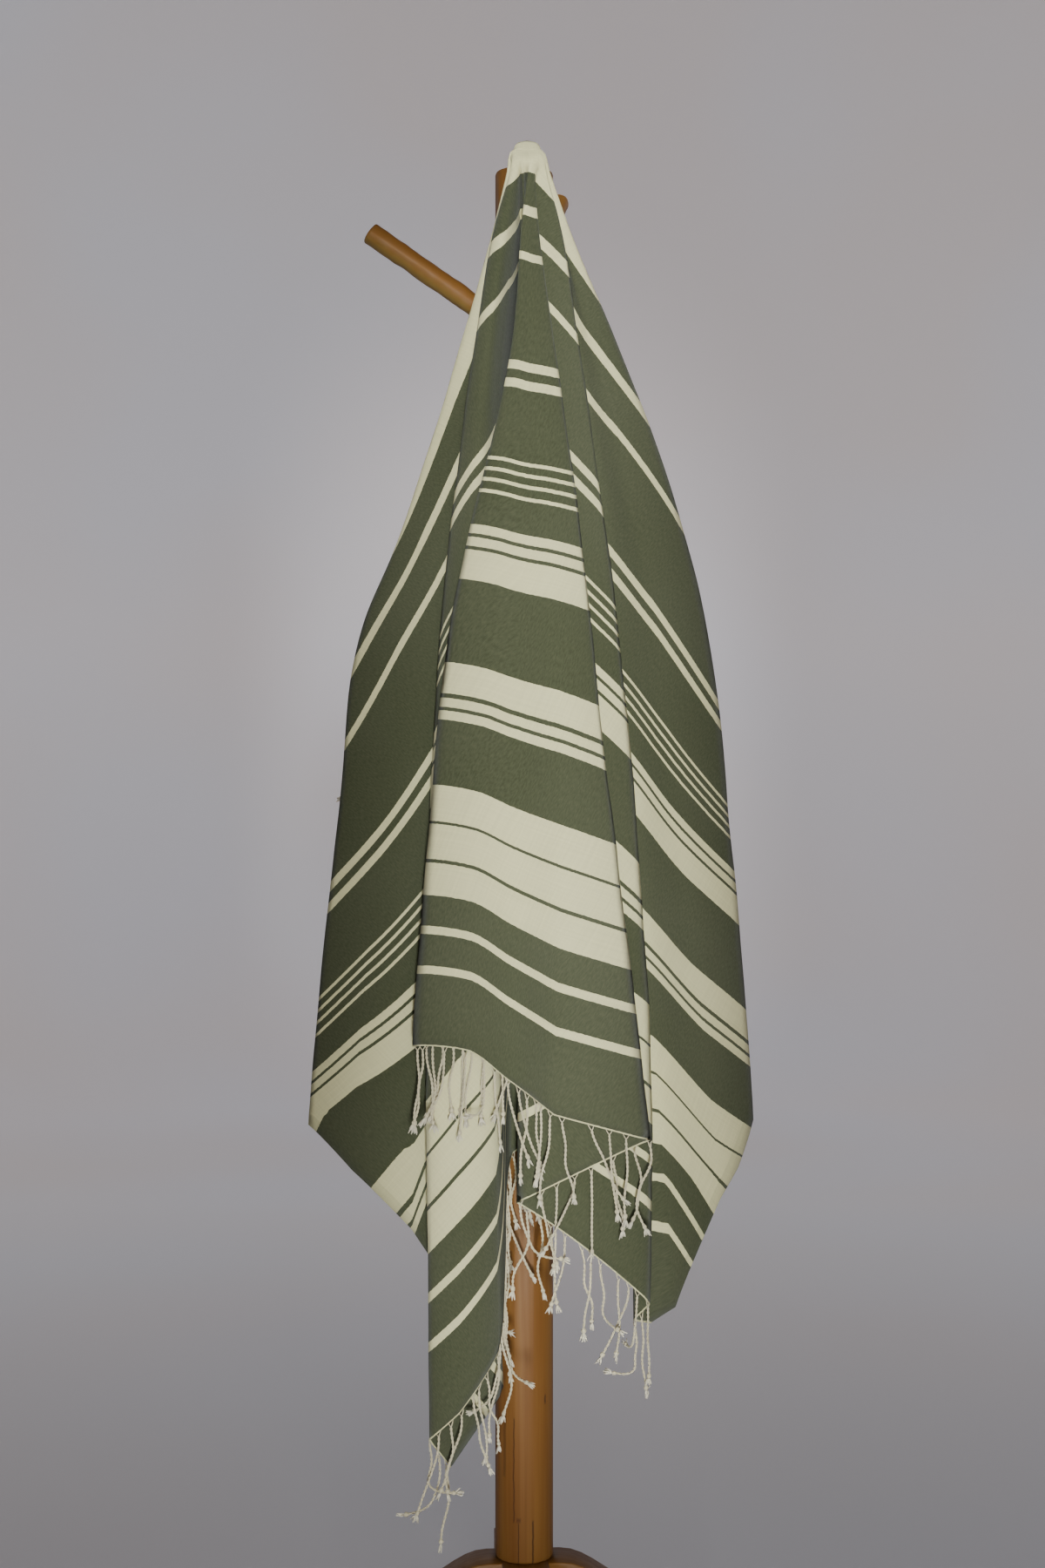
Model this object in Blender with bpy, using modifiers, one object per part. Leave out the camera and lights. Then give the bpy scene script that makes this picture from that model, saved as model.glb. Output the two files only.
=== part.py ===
"""A hammam towel hung by its middle over the front peg of a wooden coat stand.

Metres, +Z up, X to the right and -Y towards the front. The origin is on the
floor under the axis of the post.
"""
import math
import random

import bmesh
import bpy
import numpy as np
from mathutils import Matrix, Vector
from mathutils.bvhtree import BVHTree

# ---- stand -------------------------------------------------------------
POST_DIAMETER = 0.070
POST_TOP = 1.752
POST_BEVEL = 0.004
PEG_DIAMETER = 0.0262
PEG_REACH = 0.187          # from the axis of the post to the end of a peg, level
PEG_RISE = 0.130           # from the axis of the post to the end of a peg, upright
PEG_SOCKET = 0.024         # depth of a peg in the post, from the axis of the post outwards
PEG_BEVEL = 0.002
FIT_GAP = 0.0003
# name, turn about the post (0 is the front, 90 the right), height of its axis at the post
PEGS = (
    ("front_peg", 1.0, 1.592),
    ("left_peg", -90.0, 1.5495),
    ("back_peg", 166.0, 1.634),
)
FOOT_LENGTH = 0.460
FOOT_WIDTH = 0.055
FOOT_HEIGHT = 0.078
FOOT_END_HEIGHT = 0.034
FOOT_FLAT_TOP = 0.045      # half of the level stretch on top of a foot
FOOT_SLOPE_END = 0.150     # from the axis of the post to the end of a foot's slope
FOOT_TURN = 3.0
FOOT_BEVEL = 0.003

# ---- cloth -------------------------------------------------------------
CLOTH_LEFT = 1.13          # from the peg to the left selvedge
CLOTH_RIGHT = 0.922        # from the peg to the right selvedge
CLOTH_HALF = 1.00          # from the peg to either fringed end
CLOTH_THICK = 0.0016
CLOTH_CLEAR = 0.0034        # between the cloth and the wood
NECK_SHARE = 0.3           # how far down to the first drop the cloth still hugs the peg
COLUMN_PARTS = (0.0, 0.13, 0.5, 0.87)   # places of the columns between two folds
EVEN_STEPS = 12            # stretches by which the length of a fold's curve is measured
ROWS = (0.0, 0.011, 0.028, 0.055, 0.095, 0.15, 0.22, 0.30, 0.39, 0.49, 0.60, 0.72, 0.86, 1.0)

# Each fold of the front half runs from the peg to the hem. Across is to the right of the
# post's axis, back is away from the front and from the peg's end, both at DROPS.
DROPS = (0.08, 0.20, 0.45, 0.52, 0.75, 1.05, 1.40)
ANGLE_STEP = 0.3
# name, angles in the flat cloth each ANGLE_STEP from the peg, slack, across at DROPS, back at DROPS
# Slack is the length that small waves take up at one metre from the peg.
FOLDS = (
    ("left centre line", (90.0, 90.0, 90.0, 90.0, 90.0), 0.0,
     (-0.027, -0.060, -0.130, -0.1423, -0.165, -0.170, -0.170),
     (0.032, 0.056, 0.092, 0.1009, 0.125, 0.135, 0.135)),
    ("left back valley", (89.8, 89.4, 88.6, 84.0, 78.0), 0.0,
     (-0.024, -0.052, -0.115, -0.122, -0.125, -0.135, -0.140),
     (0.026, 0.046, 0.076, 0.0835, 0.104, 0.112, 0.112)),
    ("left outline", (89.6, 88.6, 84.9, 75.2, 67.4), 0.042,
     (-0.034, -0.069, -0.152, -0.1825, -0.215, -0.246, -0.268),
     (0.018, 0.032, 0.054, 0.0587, 0.070, 0.078, 0.082)),
    ("left sheet", (88.5, 84.5, 78.8, 71.0, 64.0), 0.036,
     (-0.030, -0.060, -0.122, -0.140, -0.164, -0.194, -0.210),
     (0.014, 0.027, 0.052, 0.058, 0.074, 0.083, 0.088)),
    ("left sheet inner", (88.0, 80.5, 72.8, 66.2, 60.8), 0.020,
     (-0.024, -0.048, -0.088, -0.0952, -0.110, -0.126, -0.134),
     (0.015, 0.029, 0.058, 0.0643, 0.080, 0.090, 0.094)),
    ("left valley", (75.0, 67.2, 61.0, 56.3, 52.2), 0.0,
     (-0.014, -0.026, -0.048, -0.0504, -0.050, -0.044, -0.026),
     (0.012, 0.023, 0.048, 0.054, 0.070, 0.078, 0.078)),
    ("left roll edge", (56.0, 54.0, 51.6, 49.6, 49.1, 47.0), 0.0,
     (-0.032, -0.053, -0.087, -0.0935, -0.107, -0.111, -0.107),
     (0.004, 0.010, 0.024, 0.0264, 0.030, 0.026, 0.014)),
    ("left roll", (51.0, 48.2, 45.8, 46.3, 47.0, 45.4), 0.0,
     (-0.022, -0.038, -0.064, -0.0685, -0.076, -0.076, -0.073),
     (-0.003, 0.001, 0.012, 0.0144, 0.020, 0.019, 0.008)),
    ("left roll inner", (38.0, 40.0, 42.2, 44.0, 44.4, 41.9), 0.0,
     (-0.011, -0.025, -0.036, -0.0376, -0.039, -0.034, -0.029),
     (0.009, 0.018, 0.032, 0.0347, 0.040, 0.040, 0.034)),
    ("inner back left", (28.0, 30.0, 31.5, 32.0, 32.0), 0.0,
     (-0.004, -0.010, -0.016, -0.0166, -0.016, -0.014, -0.012),
     (0.040, 0.075, 0.112, 0.1181, 0.128, 0.132, 0.132)),
    ("inner front left", (20.0, 21.8, 23.5, 25.0, 26.5), 0.0,
     (0.000, -0.003, 0.004, 0.0074, 0.022, 0.044, 0.060),
     (0.018, 0.034, 0.060, 0.0637, 0.068, 0.070, 0.070)),
    ("inner back right", (11.0, 12.6, 14.0, 15.3, 16.5), 0.0,
     (0.005, 0.006, 0.022, 0.0262, 0.038, 0.044, 0.046),
     (0.044, 0.080, 0.114, 0.1195, 0.128, 0.132, 0.132)),
    ("inner front right", (2.0, 3.4, 4.5, 5.1, 5.5), 0.0,
     (0.007, 0.013, 0.042, 0.0495, 0.070, 0.078, 0.078),
     (0.018, 0.034, 0.052, 0.055, 0.060, 0.064, 0.064)),
    ("behind the panel", (-5.0, -5.0, -5.0, -5.0, -5.0), 0.0,
     (-0.001, -0.006, -0.034, -0.0403, -0.056, -0.064, -0.066),
     (0.002, 0.004, 0.009, 0.0095, 0.010, 0.014, 0.017)),
    ("front left ridge", (-8.5, -9.6, -11.4, -11.7, -12.2), 0.0,
     (-0.002, -0.011, -0.0665, -0.081, -0.106, -0.1285, -0.140),
     (-0.008, -0.008, -0.005, -0.004, 0.000, 0.006, 0.010)),
    ("panel left flute", (-11.0, -11.5, -14.0, -14.7, -14.3), 0.014,
     (-0.001, -0.005, -0.034, -0.040, -0.054, -0.062, -0.066),
     (-0.009, -0.011, -0.012, -0.0119, -0.010, -0.004, 0.000)),
    ("panel valley", (-14.0, -12.9, -15.8, -18.3, -18.4), 0.0,
     (0.003, 0.004, -0.004, -0.0051, -0.007, -0.012, -0.014),
     (-0.008, -0.008, -0.006, -0.0049, 0.000, 0.008, 0.012)),
    ("panel right flute", (-17.5, -15.5, -19.5, -22.4, -23.6), 0.0,
     (0.007, 0.013, 0.028, 0.032, 0.042, 0.034, 0.030),
     (-0.006, -0.007, -0.009, -0.0094, -0.010, -0.008, -0.004)),
    ("front right ridge", (-21.0, -19.5, -24.3, -26.6, -27.6), 0.0,
     (0.015, 0.031, 0.066, 0.0735, 0.100, 0.135, 0.166),
     (0.000, 0.001, 0.001, 0.0011, 0.002, 0.004, 0.006)),
    ("right valley", (-48.0, -39.0, -35.0, -34.5, -33.4), 0.0,
     (0.006, 0.010, 0.008, 0.0065, 0.000, -0.007, -0.010),
     (0.010, 0.013, 0.016, 0.0164, 0.017, 0.020, 0.022)),
    ("right strip ridge", (-68.0, -55.0, -48.3, -45.0, -41.3), 0.0,
     (0.040, 0.0595, 0.097, 0.105, 0.127, 0.145, 0.141),
     (0.010, 0.018, 0.030, 0.032, 0.036, 0.042, 0.044)),
    ("right pleat", (-73.0, -59.0, -50.8, -46.8, -42.3), 0.0,
     (0.018, 0.034, 0.064, 0.0712, 0.092, 0.116, 0.128),
     (0.016, 0.028, 0.042, 0.0446, 0.050, 0.056, 0.058)),
    ("right sheet inner", (-77.0, -65.0, -54.8, -49.0, -43.2), 0.0,
     (0.040, 0.060, 0.098, 0.1023, 0.127, 0.152, 0.182),
     (0.022, 0.036, 0.054, 0.0569, 0.062, 0.068, 0.070)),
    ("right sheet", (-82.0, -70.2, -62.0, -54.4, -48.7), 0.0,
     (0.039, 0.074, 0.138, 0.1498, 0.176, 0.212, 0.243),
     (0.016, 0.028, 0.040, 0.0416, 0.044, 0.050, 0.052)),
    ("right outline", (-88.0, -78.5, -71.8, -59.8, -51.7), 0.0,
     (0.050, 0.101, 0.191, 0.2075, 0.2355, 0.2615, 0.277),
     (0.020, 0.034, 0.052, 0.0552, 0.062, 0.068, 0.070)),
    ("right back valley", (-89.0, -83.5, -78.0, -70.5, -64.0), 0.0,
     (0.030, 0.050, 0.086, 0.0929, 0.108, 0.118, 0.118),
     (0.034, 0.055, 0.082, 0.0865, 0.094, 0.098, 0.098)),
    ("right back ridge", (-89.5, -86.5, -83.5, -80.0, -76.0), 0.0,
     (0.036, 0.070, 0.142, 0.1549, 0.180, 0.190, 0.190),
     (0.040, 0.066, 0.098, 0.1043, 0.118, 0.122, 0.122)),
    ("right centre line", (-90.0, -90.0, -90.0, -90.0, -90.0), 0.0,
     (0.026, 0.046, 0.092, 0.1028, 0.130, 0.135, 0.135),
     (0.046, 0.078, 0.114, 0.1214, 0.138, 0.142, 0.142)),
)
# The back half hangs from the peg behind its end, gathered in upright pleats.
GATHER_REACH = 0.150       # the length of the peg that carries the back half
GATHER_LAG = 0.006         # how far the first pleat slants back from the end of the peg
BACK_TURN = 0.010          # between the front half and the first pleat of the back half
BACK_PLEATS = 5
BACK_ROW_COLUMNS = 3       # columns in half a pleat
# across of the pleats' inner folds and back of their last fold, at DROPS below the peg
BACK_INNER = (0.019, 0.030, 0.044, 0.045, 0.050, 0.050, 0.050)
BACK_LAST = (0.132, 0.140, 0.165, 0.171, 0.192, 0.208, 0.210)

# ---- fringe ------------------------------------------------------------
FRINGE_PITCH = 0.0222
FRINGE_STRIP = 0.004
FRINGE_STRIP_THICK = 0.0008
FRINGE_GAP = 0.0009        # between the cloth's edge and the strip
NOSE_TURN = 0.75           # cosine of a turn of the edge that counts as a fold's nose
NOSE_CHORD = 0.025         # length on each side over which a turn is measured
NOSE_REACH = 0.010         # how far the strip is narrowed beside a nose
NOSE_FREE = 0.0125         # no strand within this distance of a nose
NOSE_NARROWING = 0.8
NOSE_PUSH = 0.0018         # how far the strip stands out past a nose
FRINGE_LENGTH = 0.090
FRINGE_ROOT = 0.0045
FRINGE_TIP = 0.0040
FRINGE_OUTWARD = 0.3       # how much a strand of the front end follows the cloth's own heading
FRINGE_STRAY = (0.05, 0.03)   # uneven lean of the strands, sideways and backwards
FRINGE_SPLAY = 22.0        # between a strand of the back end and the upright
FRINGE_BACKWARDS = 0.8     # how much the back strands lean back for each part sideways
FRINGE_CLEAR_OF_PEG = 0.040
FRINGE_SEED = 7
FRINGE_RINGS = (0.22, 1.0)
FRINGE_APART = 0.0065      # between a strand's middle and the cloth or another strand's middle
FRINGE_NEIGHBOURS = 60
# sideways and backwards lean of a strand for each part of its length, in order of choice
FRINGE_LEANS = ((0.0, 0.0), (0.0, -0.1), (0.0, 0.1), (0.1, 0.0), (-0.1, 0.0), (0.0, -0.2),
                (0.0, 0.2), (0.2, 0.0), (-0.2, 0.0), (0.0, -0.35), (0.0, 0.35), (0.3, 0.0),
                (-0.3, 0.0), (0.2, -0.3), (-0.2, -0.3), (0.2, 0.3), (-0.2, 0.3))

COLLECTION = "hammam_towel_on_coat_stand"


# ---- helpers -----------------------------------------------------------
def clear_scene():
    for obj in list(bpy.data.objects):
        bpy.data.objects.remove(obj)


def new_collection(name):
    collection = bpy.data.collections.new(name)
    bpy.context.scene.collection.children.link(collection)
    return collection


def material(name, colour, roughness):
    mat = bpy.data.materials.new(name)
    mat.use_nodes = True
    shader = mat.node_tree.nodes["Principled BSDF"]
    shader.inputs["Base Color"].default_value = (*colour, 1.0)
    shader.inputs["Roughness"].default_value = roughness
    shader.inputs["Metallic"].default_value = 0.0
    return mat


def add_object(name, mesh, collection, mat=None):
    obj = bpy.data.objects.new(name, mesh)
    collection.objects.link(obj)
    if mat is not None:
        obj.data.materials.append(mat)
    return obj


def hide_tool(obj):
    obj.hide_render = True
    obj.display_type = "WIRE"


def cylinder_mesh(name, radius, bottom, top, sides):
    """An upright cylinder between two heights on the Z axis."""
    bm = bmesh.new()
    bmesh.ops.create_cone(bm, cap_ends=True, segments=sides, radius1=radius, radius2=radius,
                          depth=top - bottom)
    bmesh.ops.translate(bm, verts=bm.verts, vec=(0.0, 0.0, (top + bottom) / 2))
    mesh = bpy.data.meshes.new(name)
    bm.to_mesh(mesh)
    bm.free()
    mesh.shade_smooth()
    mesh.set_sharp_from_angle(angle=math.radians(40))
    return mesh


def bevel(obj, width, segments):
    mod = obj.modifiers.new("soft edge", "BEVEL")
    mod.width = width
    mod.segments = segments
    mod.limit_method = "ANGLE"
    mod.angle_limit = math.radians(50)


def cut(obj, cutter):
    mod = obj.modifiers.new("cut", "BOOLEAN")
    mod.operation = "DIFFERENCE"
    mod.solver = "EXACT"
    mod.object = cutter


# ---- stand -------------------------------------------------------------
def peg_direction(turn):
    """The way from the post to the end of a peg, as a unit vector."""
    level = Vector((math.sin(math.radians(turn)), -math.cos(math.radians(turn)), 0.0))
    return (level * PEG_REACH + Vector((0.0, 0.0, PEG_RISE))).normalized()


def peg_frame(turn, height):
    """A matrix whose Z axis runs out along the peg from the axis of the post."""
    turned = Vector((0.0, 0.0, 1.0)).rotation_difference(peg_direction(turn)).to_matrix().to_4x4()
    return Matrix.Translation((0.0, 0.0, height)) @ turned


def make_stand(collection, tools, wood):
    length = math.hypot(PEG_REACH, PEG_RISE)
    post = add_object("stand_post", cylinder_mesh("stand_post", POST_DIAMETER / 2,
                                                  FOOT_HEIGHT + FIT_GAP, POST_TOP, 40),
                      collection, wood)
    bevel(post, POST_BEVEL, 2)
    for name, turn, height in PEGS:
        frame = peg_frame(turn, height)
        socket = add_object("socket_" + name,
                            cylinder_mesh("socket", PEG_DIAMETER / 2 + FIT_GAP,
                                          PEG_SOCKET - FIT_GAP, length, 24), tools)
        socket.matrix_world = frame
        hide_tool(socket)
        cut(post, socket)
        peg = add_object(name, cylinder_mesh(name, PEG_DIAMETER / 2, PEG_SOCKET, length, 24),
                         collection, wood)
        peg.matrix_world = frame
        bevel(peg, PEG_BEVEL, 2)


def foot_outline():
    """Half of the top, from its end inwards, and the same mirrored."""
    half = FOOT_LENGTH / 2
    slope_steps = 8
    points = [(-half, 0.0), (half, 0.0), (half, FOOT_END_HEIGHT)]
    for i in range(slope_steps + 1):
        t = i / slope_steps
        along = FOOT_SLOPE_END + (FOOT_FLAT_TOP - FOOT_SLOPE_END) * t
        rise = FOOT_END_HEIGHT + (FOOT_HEIGHT - FOOT_END_HEIGHT) * (1 - math.cos(t * math.pi)) / 2
        points.append((along, rise))
    points += [(-x, z) for x, z in reversed(points[2:])]
    return points


def foot_mesh(name):
    """A beam along X, flat below, with a sloping rounded top."""
    curve = bpy.data.curves.new(name, "CURVE")
    curve.dimensions = "2D"
    curve.fill_mode = "BOTH"
    curve.extrude = FOOT_WIDTH / 2
    spline = curve.splines.new("POLY")
    outline = foot_outline()
    spline.points.add(len(outline) - 1)
    for point, (x, z) in zip(spline.points, outline):
        point.co = (x, z, 0.0, 1.0)
    spline.use_cyclic_u = True
    scratch = bpy.data.objects.new(name, curve)
    bpy.context.scene.collection.objects.link(scratch)
    graph = bpy.context.evaluated_depsgraph_get()
    mesh = bpy.data.meshes.new_from_object(scratch.evaluated_get(graph))
    bpy.data.objects.remove(scratch)
    bm = bmesh.new()
    bm.from_mesh(mesh)
    bmesh.ops.remove_doubles(bm, verts=bm.verts, dist=0.00001)
    bmesh.ops.rotate(bm, verts=bm.verts, matrix=Matrix.Rotation(math.pi / 2, 3, "X"))
    bmesh.ops.recalc_face_normals(bm, faces=bm.faces)
    bm.to_mesh(mesh)
    bm.free()
    return mesh


def make_feet(collection, tools, wood):
    """Two beams halved into each other: one keeps its lower half, one its upper."""
    halves = (("foot_through", 0.0, FOOT_HEIGHT / 2, FOOT_HEIGHT * 2),
              ("foot_over", 90.0, -FOOT_HEIGHT, FOOT_HEIGHT / 2 + FIT_GAP))
    for name, turn, low, high in halves:
        foot = add_object(name, foot_mesh(name), collection, wood)
        foot.rotation_euler = (0.0, 0.0, math.radians(FOOT_TURN + turn))
        bevel(foot, FOOT_BEVEL, 2)
        bm = bmesh.new()
        bmesh.ops.create_cube(bm, size=1.0)
        lap = FOOT_WIDTH + 2 * FIT_GAP
        bmesh.ops.scale(bm, verts=bm.verts, vec=(lap, FOOT_WIDTH * 2, high - low))
        bmesh.ops.translate(bm, verts=bm.verts, vec=(0.0, 0.0, (low + high) / 2))
        mesh = bpy.data.meshes.new("lap")
        bm.to_mesh(mesh)
        bm.free()
        lap_tool = add_object("lap_" + name, mesh, tools)
        lap_tool.rotation_euler = foot.rotation_euler
        hide_tool(lap_tool)
        cut(foot, lap_tool)


# ---- the hung cloth ----------------------------------------------------
def apex():
    """Where the middle of the cloth lies on the end of the front peg."""
    _, turn, height = PEGS[0]
    out = peg_direction(turn)
    length = math.hypot(PEG_REACH, PEG_RISE)
    return np.array(Vector((0.0, 0.0, height)) + out * (length + CLOTH_CLEAR))


class HungCloth:
    """Carries a point (u, v) of the flat cloth to its place as it hangs.

    u runs to the left and v to the front, both from the point on the peg.
    """

    RADIUS_STEP = 0.004
    RADIUS_COUNT = 420

    def __init__(self):
        self.apex = apex()
        self.out = np.array(peg_direction(PEGS[0][1]))
        upright = np.array((0.0, 0.0, 1.0)) - self.out * self.out[2]
        self.up = upright / np.linalg.norm(upright)
        self.middle = self.apex * np.array((0.0, 1.0, 1.0))
        self.rim = PEG_DIAMETER / 2 + CLOTH_CLEAR
        self.radii = np.arange(self.RADIUS_COUNT) * self.RADIUS_STEP
        self.lines = np.array([self.fold_line(fold) for fold in FOLDS])
        self.angles = np.array([self.fold_angles(fold[1]) for fold in FOLDS])

    @staticmethod
    def smooth_route(points, per_span=24):
        """A smooth curve through points, spaced by the lengths between them."""
        points = np.asarray(points, float)
        gaps = np.linalg.norm(np.diff(points, axis=0), axis=1)
        slopes = np.diff(points, axis=0) / gaps[:, None]
        ahead, behind = gaps[1:, None], gaps[:-1, None]
        inner = (slopes[:-1] * ahead + slopes[1:] * behind) / (ahead + behind)
        tangents = np.vstack([slopes[:1], inner, slopes[-1:]])
        t = np.linspace(0.0, 1.0, per_span, endpoint=False)[:, None]
        spans = []
        for i, gap in enumerate(gaps):
            spans.append(hermite(points[i], points[i + 1], tangents[i] * gap,
                                 tangents[i + 1] * gap, t))
        return np.vstack(spans + [points[-1:]])

    def by_length(self, route, slack=0.0):
        """Points of a route at the radii less their slack, going straight on past its end."""
        steps = np.linalg.norm(np.diff(route, axis=0), axis=1)
        run = np.concatenate([[0.0], np.cumsum(steps)])
        end = (route[-1] - route[-4]) / np.linalg.norm(route[-1] - route[-4])
        route = np.vstack([route, route[-1] + end])
        run = np.append(run, run[-1] + 1.0)
        taut = self.radii - slack * self.radii ** 2
        return np.stack([np.interp(taut, run, route[:, k]) for k in range(3)], axis=1)

    def fold_line(self, fold):
        _, angles, slack, across, back = fold
        turn = math.radians(angles[0])
        side = np.array((-1.0, 0.0, 0.0))
        rim = self.apex + self.rim * (math.sin(turn) * side - math.cos(turn) * self.up)
        stations = [self.middle + np.array((x, y, -drop)) for x, y, drop in zip(across, back, DROPS)]
        neck = rim + (stations[0] - rim) * NECK_SHARE
        return self.by_length(self.smooth_route([self.apex, rim, neck] + stations), slack)

    def fold_angles(self, angles):
        """The angle of a fold in the flat cloth, a smooth curve through its values."""
        values = np.array(angles)
        slopes = np.gradient(values)
        place = np.minimum(self.radii / ANGLE_STEP, len(values) - 1.001)
        low = place.astype(int)
        return hermite(values[low], values[low + 1], slopes[low], slopes[low + 1], place - low)

    def at_radius(self, table, row, radius):
        """Values of one row of a table at given radii."""
        place = np.clip(radius / self.RADIUS_STEP, 0, self.RADIUS_COUNT - 1.001)
        low = place.astype(int)
        part = place - low
        if table.ndim == 3:
            part = part[:, None]
        return table[row, low] * (1 - part) + table[row, low + 1] * part

    def front(self, fold, part, radius):
        """The place between a fold and the next one, at a distance from the peg."""
        last = len(FOLDS) - 1
        index = [np.clip(fold + k, 0, last) for k in (-1, 0, 1, 2)]
        before, here, there, after = [self.at_radius(self.lines, i, radius) for i in index]
        return blend_four(before, here, there, after, part[:, None])

    def front_place(self, u, v):
        """The place of flat points with v at or past the centre line."""
        radius = np.hypot(u, v)
        angle = np.degrees(np.arctan2(u, np.maximum(v, 0.0)))
        rows = np.array([self.at_radius(self.angles, np.full(len(u), i), radius)
                         for i in range(len(FOLDS))])
        fold = np.clip((rows >= angle).sum(axis=0) - 1, 0, len(FOLDS) - 2)
        pick = np.arange(len(u))
        start, end = rows[fold, pick], rows[fold + 1, pick]
        part = np.clip((start - angle) / np.maximum(start - end, 1e-6), 0.0, 1.0)
        return self.front(fold, part, radius)

    def back_line(self, side, v):
        """The upright line of the back half at a distance v behind the centre line."""
        share = max(-v - self.rim, 0.0) / (CLOTH_HALF - self.rim)
        fold = FOLDS[0] if side > 0 else FOLDS[-1]
        wave = share * BACK_PLEATS
        inward = 1.0 - abs(2.0 * (wave - math.floor(wave)) - 1.0)
        if share >= 1.0:
            inward = -2.0 * BACK_PLEATS * (share - 1.0)
        shaft = self.apex - self.out * (GATHER_REACH * share)
        raised = min(-v / self.rim, 1.0)
        top = shaft + self.up * self.rim * raised
        outward = np.array((-side * self.rim, 0.0, 0.0))
        shoulder = shaft + (top - shaft + outward) * math.sqrt(0.5)
        side_point = shaft + outward - self.out * (GATHER_LAG * raised)
        stations = []
        for k, drop in enumerate(DROPS):
            outer = fold[3][k]
            inner = -side * BACK_INNER[k]
            first = fold[4][k] + BACK_TURN * raised * min(drop / DROPS[1], 1.0)
            back = first + (BACK_LAST[k] - first) * share
            across = outer + (inner - outer) * inward
            sunk = (self.apex[2] - shaft[2]) * max(0.0, 1.0 - drop / DROPS[-1])
            stations.append(self.middle + np.array((across, back, -drop - sunk)))
        neck = side_point + (stations[0] - side_point) * NECK_SHARE
        return self.by_length(self.smooth_route([top, shoulder, side_point, neck] + stations))

    def place(self, u, v):
        """The places of flat points, anywhere on the cloth."""
        u, v = np.broadcast_arrays(np.asarray(u, float), np.asarray(v, float))
        shape = u.shape
        u, v = u.ravel(), v.ravel()
        out = np.zeros((len(u), 3))
        ahead = v >= 0.0
        if ahead.any():
            out[ahead] = self.front_place(u[ahead], v[ahead])
        for side in (1.0, -1.0):
            mine = ~ahead & ((u >= 0.0) if side > 0 else (u < 0.0))
            for value in np.unique(v[mine]):
                row = mine & (v == value)
                line = self.back_line(side, value)[None]
                out[row] = self.at_radius(line, np.zeros(row.sum(), int), np.abs(u[row]))
        return out.reshape(shape + (3,))


def hermite(start, end, leave, arrive, t):
    return ((2 * t ** 3 - 3 * t ** 2 + 1) * start + (t ** 3 - 2 * t ** 2 + t) * leave
            + (3 * t ** 2 - 2 * t ** 3) * end + (t ** 3 - t ** 2) * arrive)


def blend_four(before, here, there, after, t):
    """A rounded curve from here to there, heading in from before and on to after.

    t is the share of the curve's length, so that cloth isn't bunched where it turns.
    """
    def gap(p, q):
        return np.maximum(np.linalg.norm(q - p, axis=1, keepdims=True), 1e-5) ** 0.7
    first, mid, last = gap(before, here), gap(here, there), gap(there, after)
    slope_in, slope, slope_out = (here - before) / first, (there - here) / mid, (after - there) / last
    leave = np.where(first > 2e-3, (slope_in * mid + slope * first) / (first + mid), slope)
    arrive = np.where(last > 2e-3, (slope * last + slope_out * mid) / (mid + last), slope)
    steps = np.linspace(0.0, 1.0, EVEN_STEPS + 1)
    route = np.array([hermite(here, there, leave * mid, arrive * mid, k) for k in steps])
    run = np.cumsum(np.linalg.norm(np.diff(route, axis=0), axis=2), axis=0)
    run = np.vstack([np.zeros_like(run[:1]), run])
    target = t[:, 0] * run[-1]
    low = np.clip((run <= target).sum(axis=0) - 1, 0, EVEN_STEPS - 1)
    pick = np.arange(len(low))
    span = np.maximum(run[low + 1, pick] - run[low, pick], 1e-9)
    even = (steps[low] + (target - run[low, pick]) / span / EVEN_STEPS)[:, None]
    return hermite(here, there, leave * mid, arrive * mid, even)


def reach(side, angle):
    """The flat distance from the peg to the cloth's edge, at an angle from the front."""
    turn = np.radians(np.abs(angle))
    width = CLOTH_LEFT if side > 0 else CLOTH_RIGHT
    to_end = CLOTH_HALF / np.maximum(np.cos(turn), 1e-6)
    to_side = width / np.maximum(np.sin(turn), 1e-6)
    return np.minimum(to_end, to_side)


def corner_column(cloth, side):
    """The column that ends at a front corner of the cloth."""
    width = CLOTH_LEFT if side > 0 else CLOTH_RIGHT
    angle = side * math.degrees(math.atan2(width, CLOTH_HALF))
    radius = np.full(len(FOLDS), math.hypot(width, CLOTH_HALF))
    around = cloth.at_radius(cloth.angles, np.arange(len(FOLDS)), radius)
    fold = int((around >= angle).sum()) - 1
    return fold, float((around[fold] - angle) / (around[fold] - around[fold + 1]))


def front_columns(cloth):
    """Flat points of the front half, a column of rows for each angle, left to right."""
    columns = []
    for fold in range(len(FOLDS) - 1):
        for part in COLUMN_PARTS:
            columns.append((fold, part))
    columns.append((len(FOLDS) - 2, 1.0))
    columns += [corner_column(cloth, 1.0), corner_column(cloth, -1.0)]
    columns.sort()
    rows = np.array(ROWS)
    flat = []
    for fold, part in columns:
        radius = rows * CLOTH_HALF
        for _ in range(8):
            start = cloth.at_radius(cloth.angles, np.full(len(rows), fold), radius)
            end = cloth.at_radius(cloth.angles, np.full(len(rows), fold + 1), radius)
            angle = start + (end - start) * part
            side = 1.0 if angle[-1] > 0 else -1.0
            radius = rows * reach(side, angle)
        flat.append(np.stack([radius * np.sin(np.radians(angle)),
                              radius * np.cos(np.radians(angle))], axis=1))
    return flat


def back_columns(cloth, side):
    """Flat points of one side of the back half, from the centre line to the fringed end."""
    count = int(2 * BACK_PLEATS * BACK_ROW_COLUMNS)
    width = CLOTH_LEFT if side > 0 else -CLOTH_RIGHT
    rim = cloth.rim
    rows = np.array(ROWS)
    behind = [-rim] + [-rim - (CLOTH_HALF - rim) * k / count for k in range(1, count + 1)]
    return [np.stack([rows * width, np.full(len(rows), v)], axis=1) for v in behind]


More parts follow.
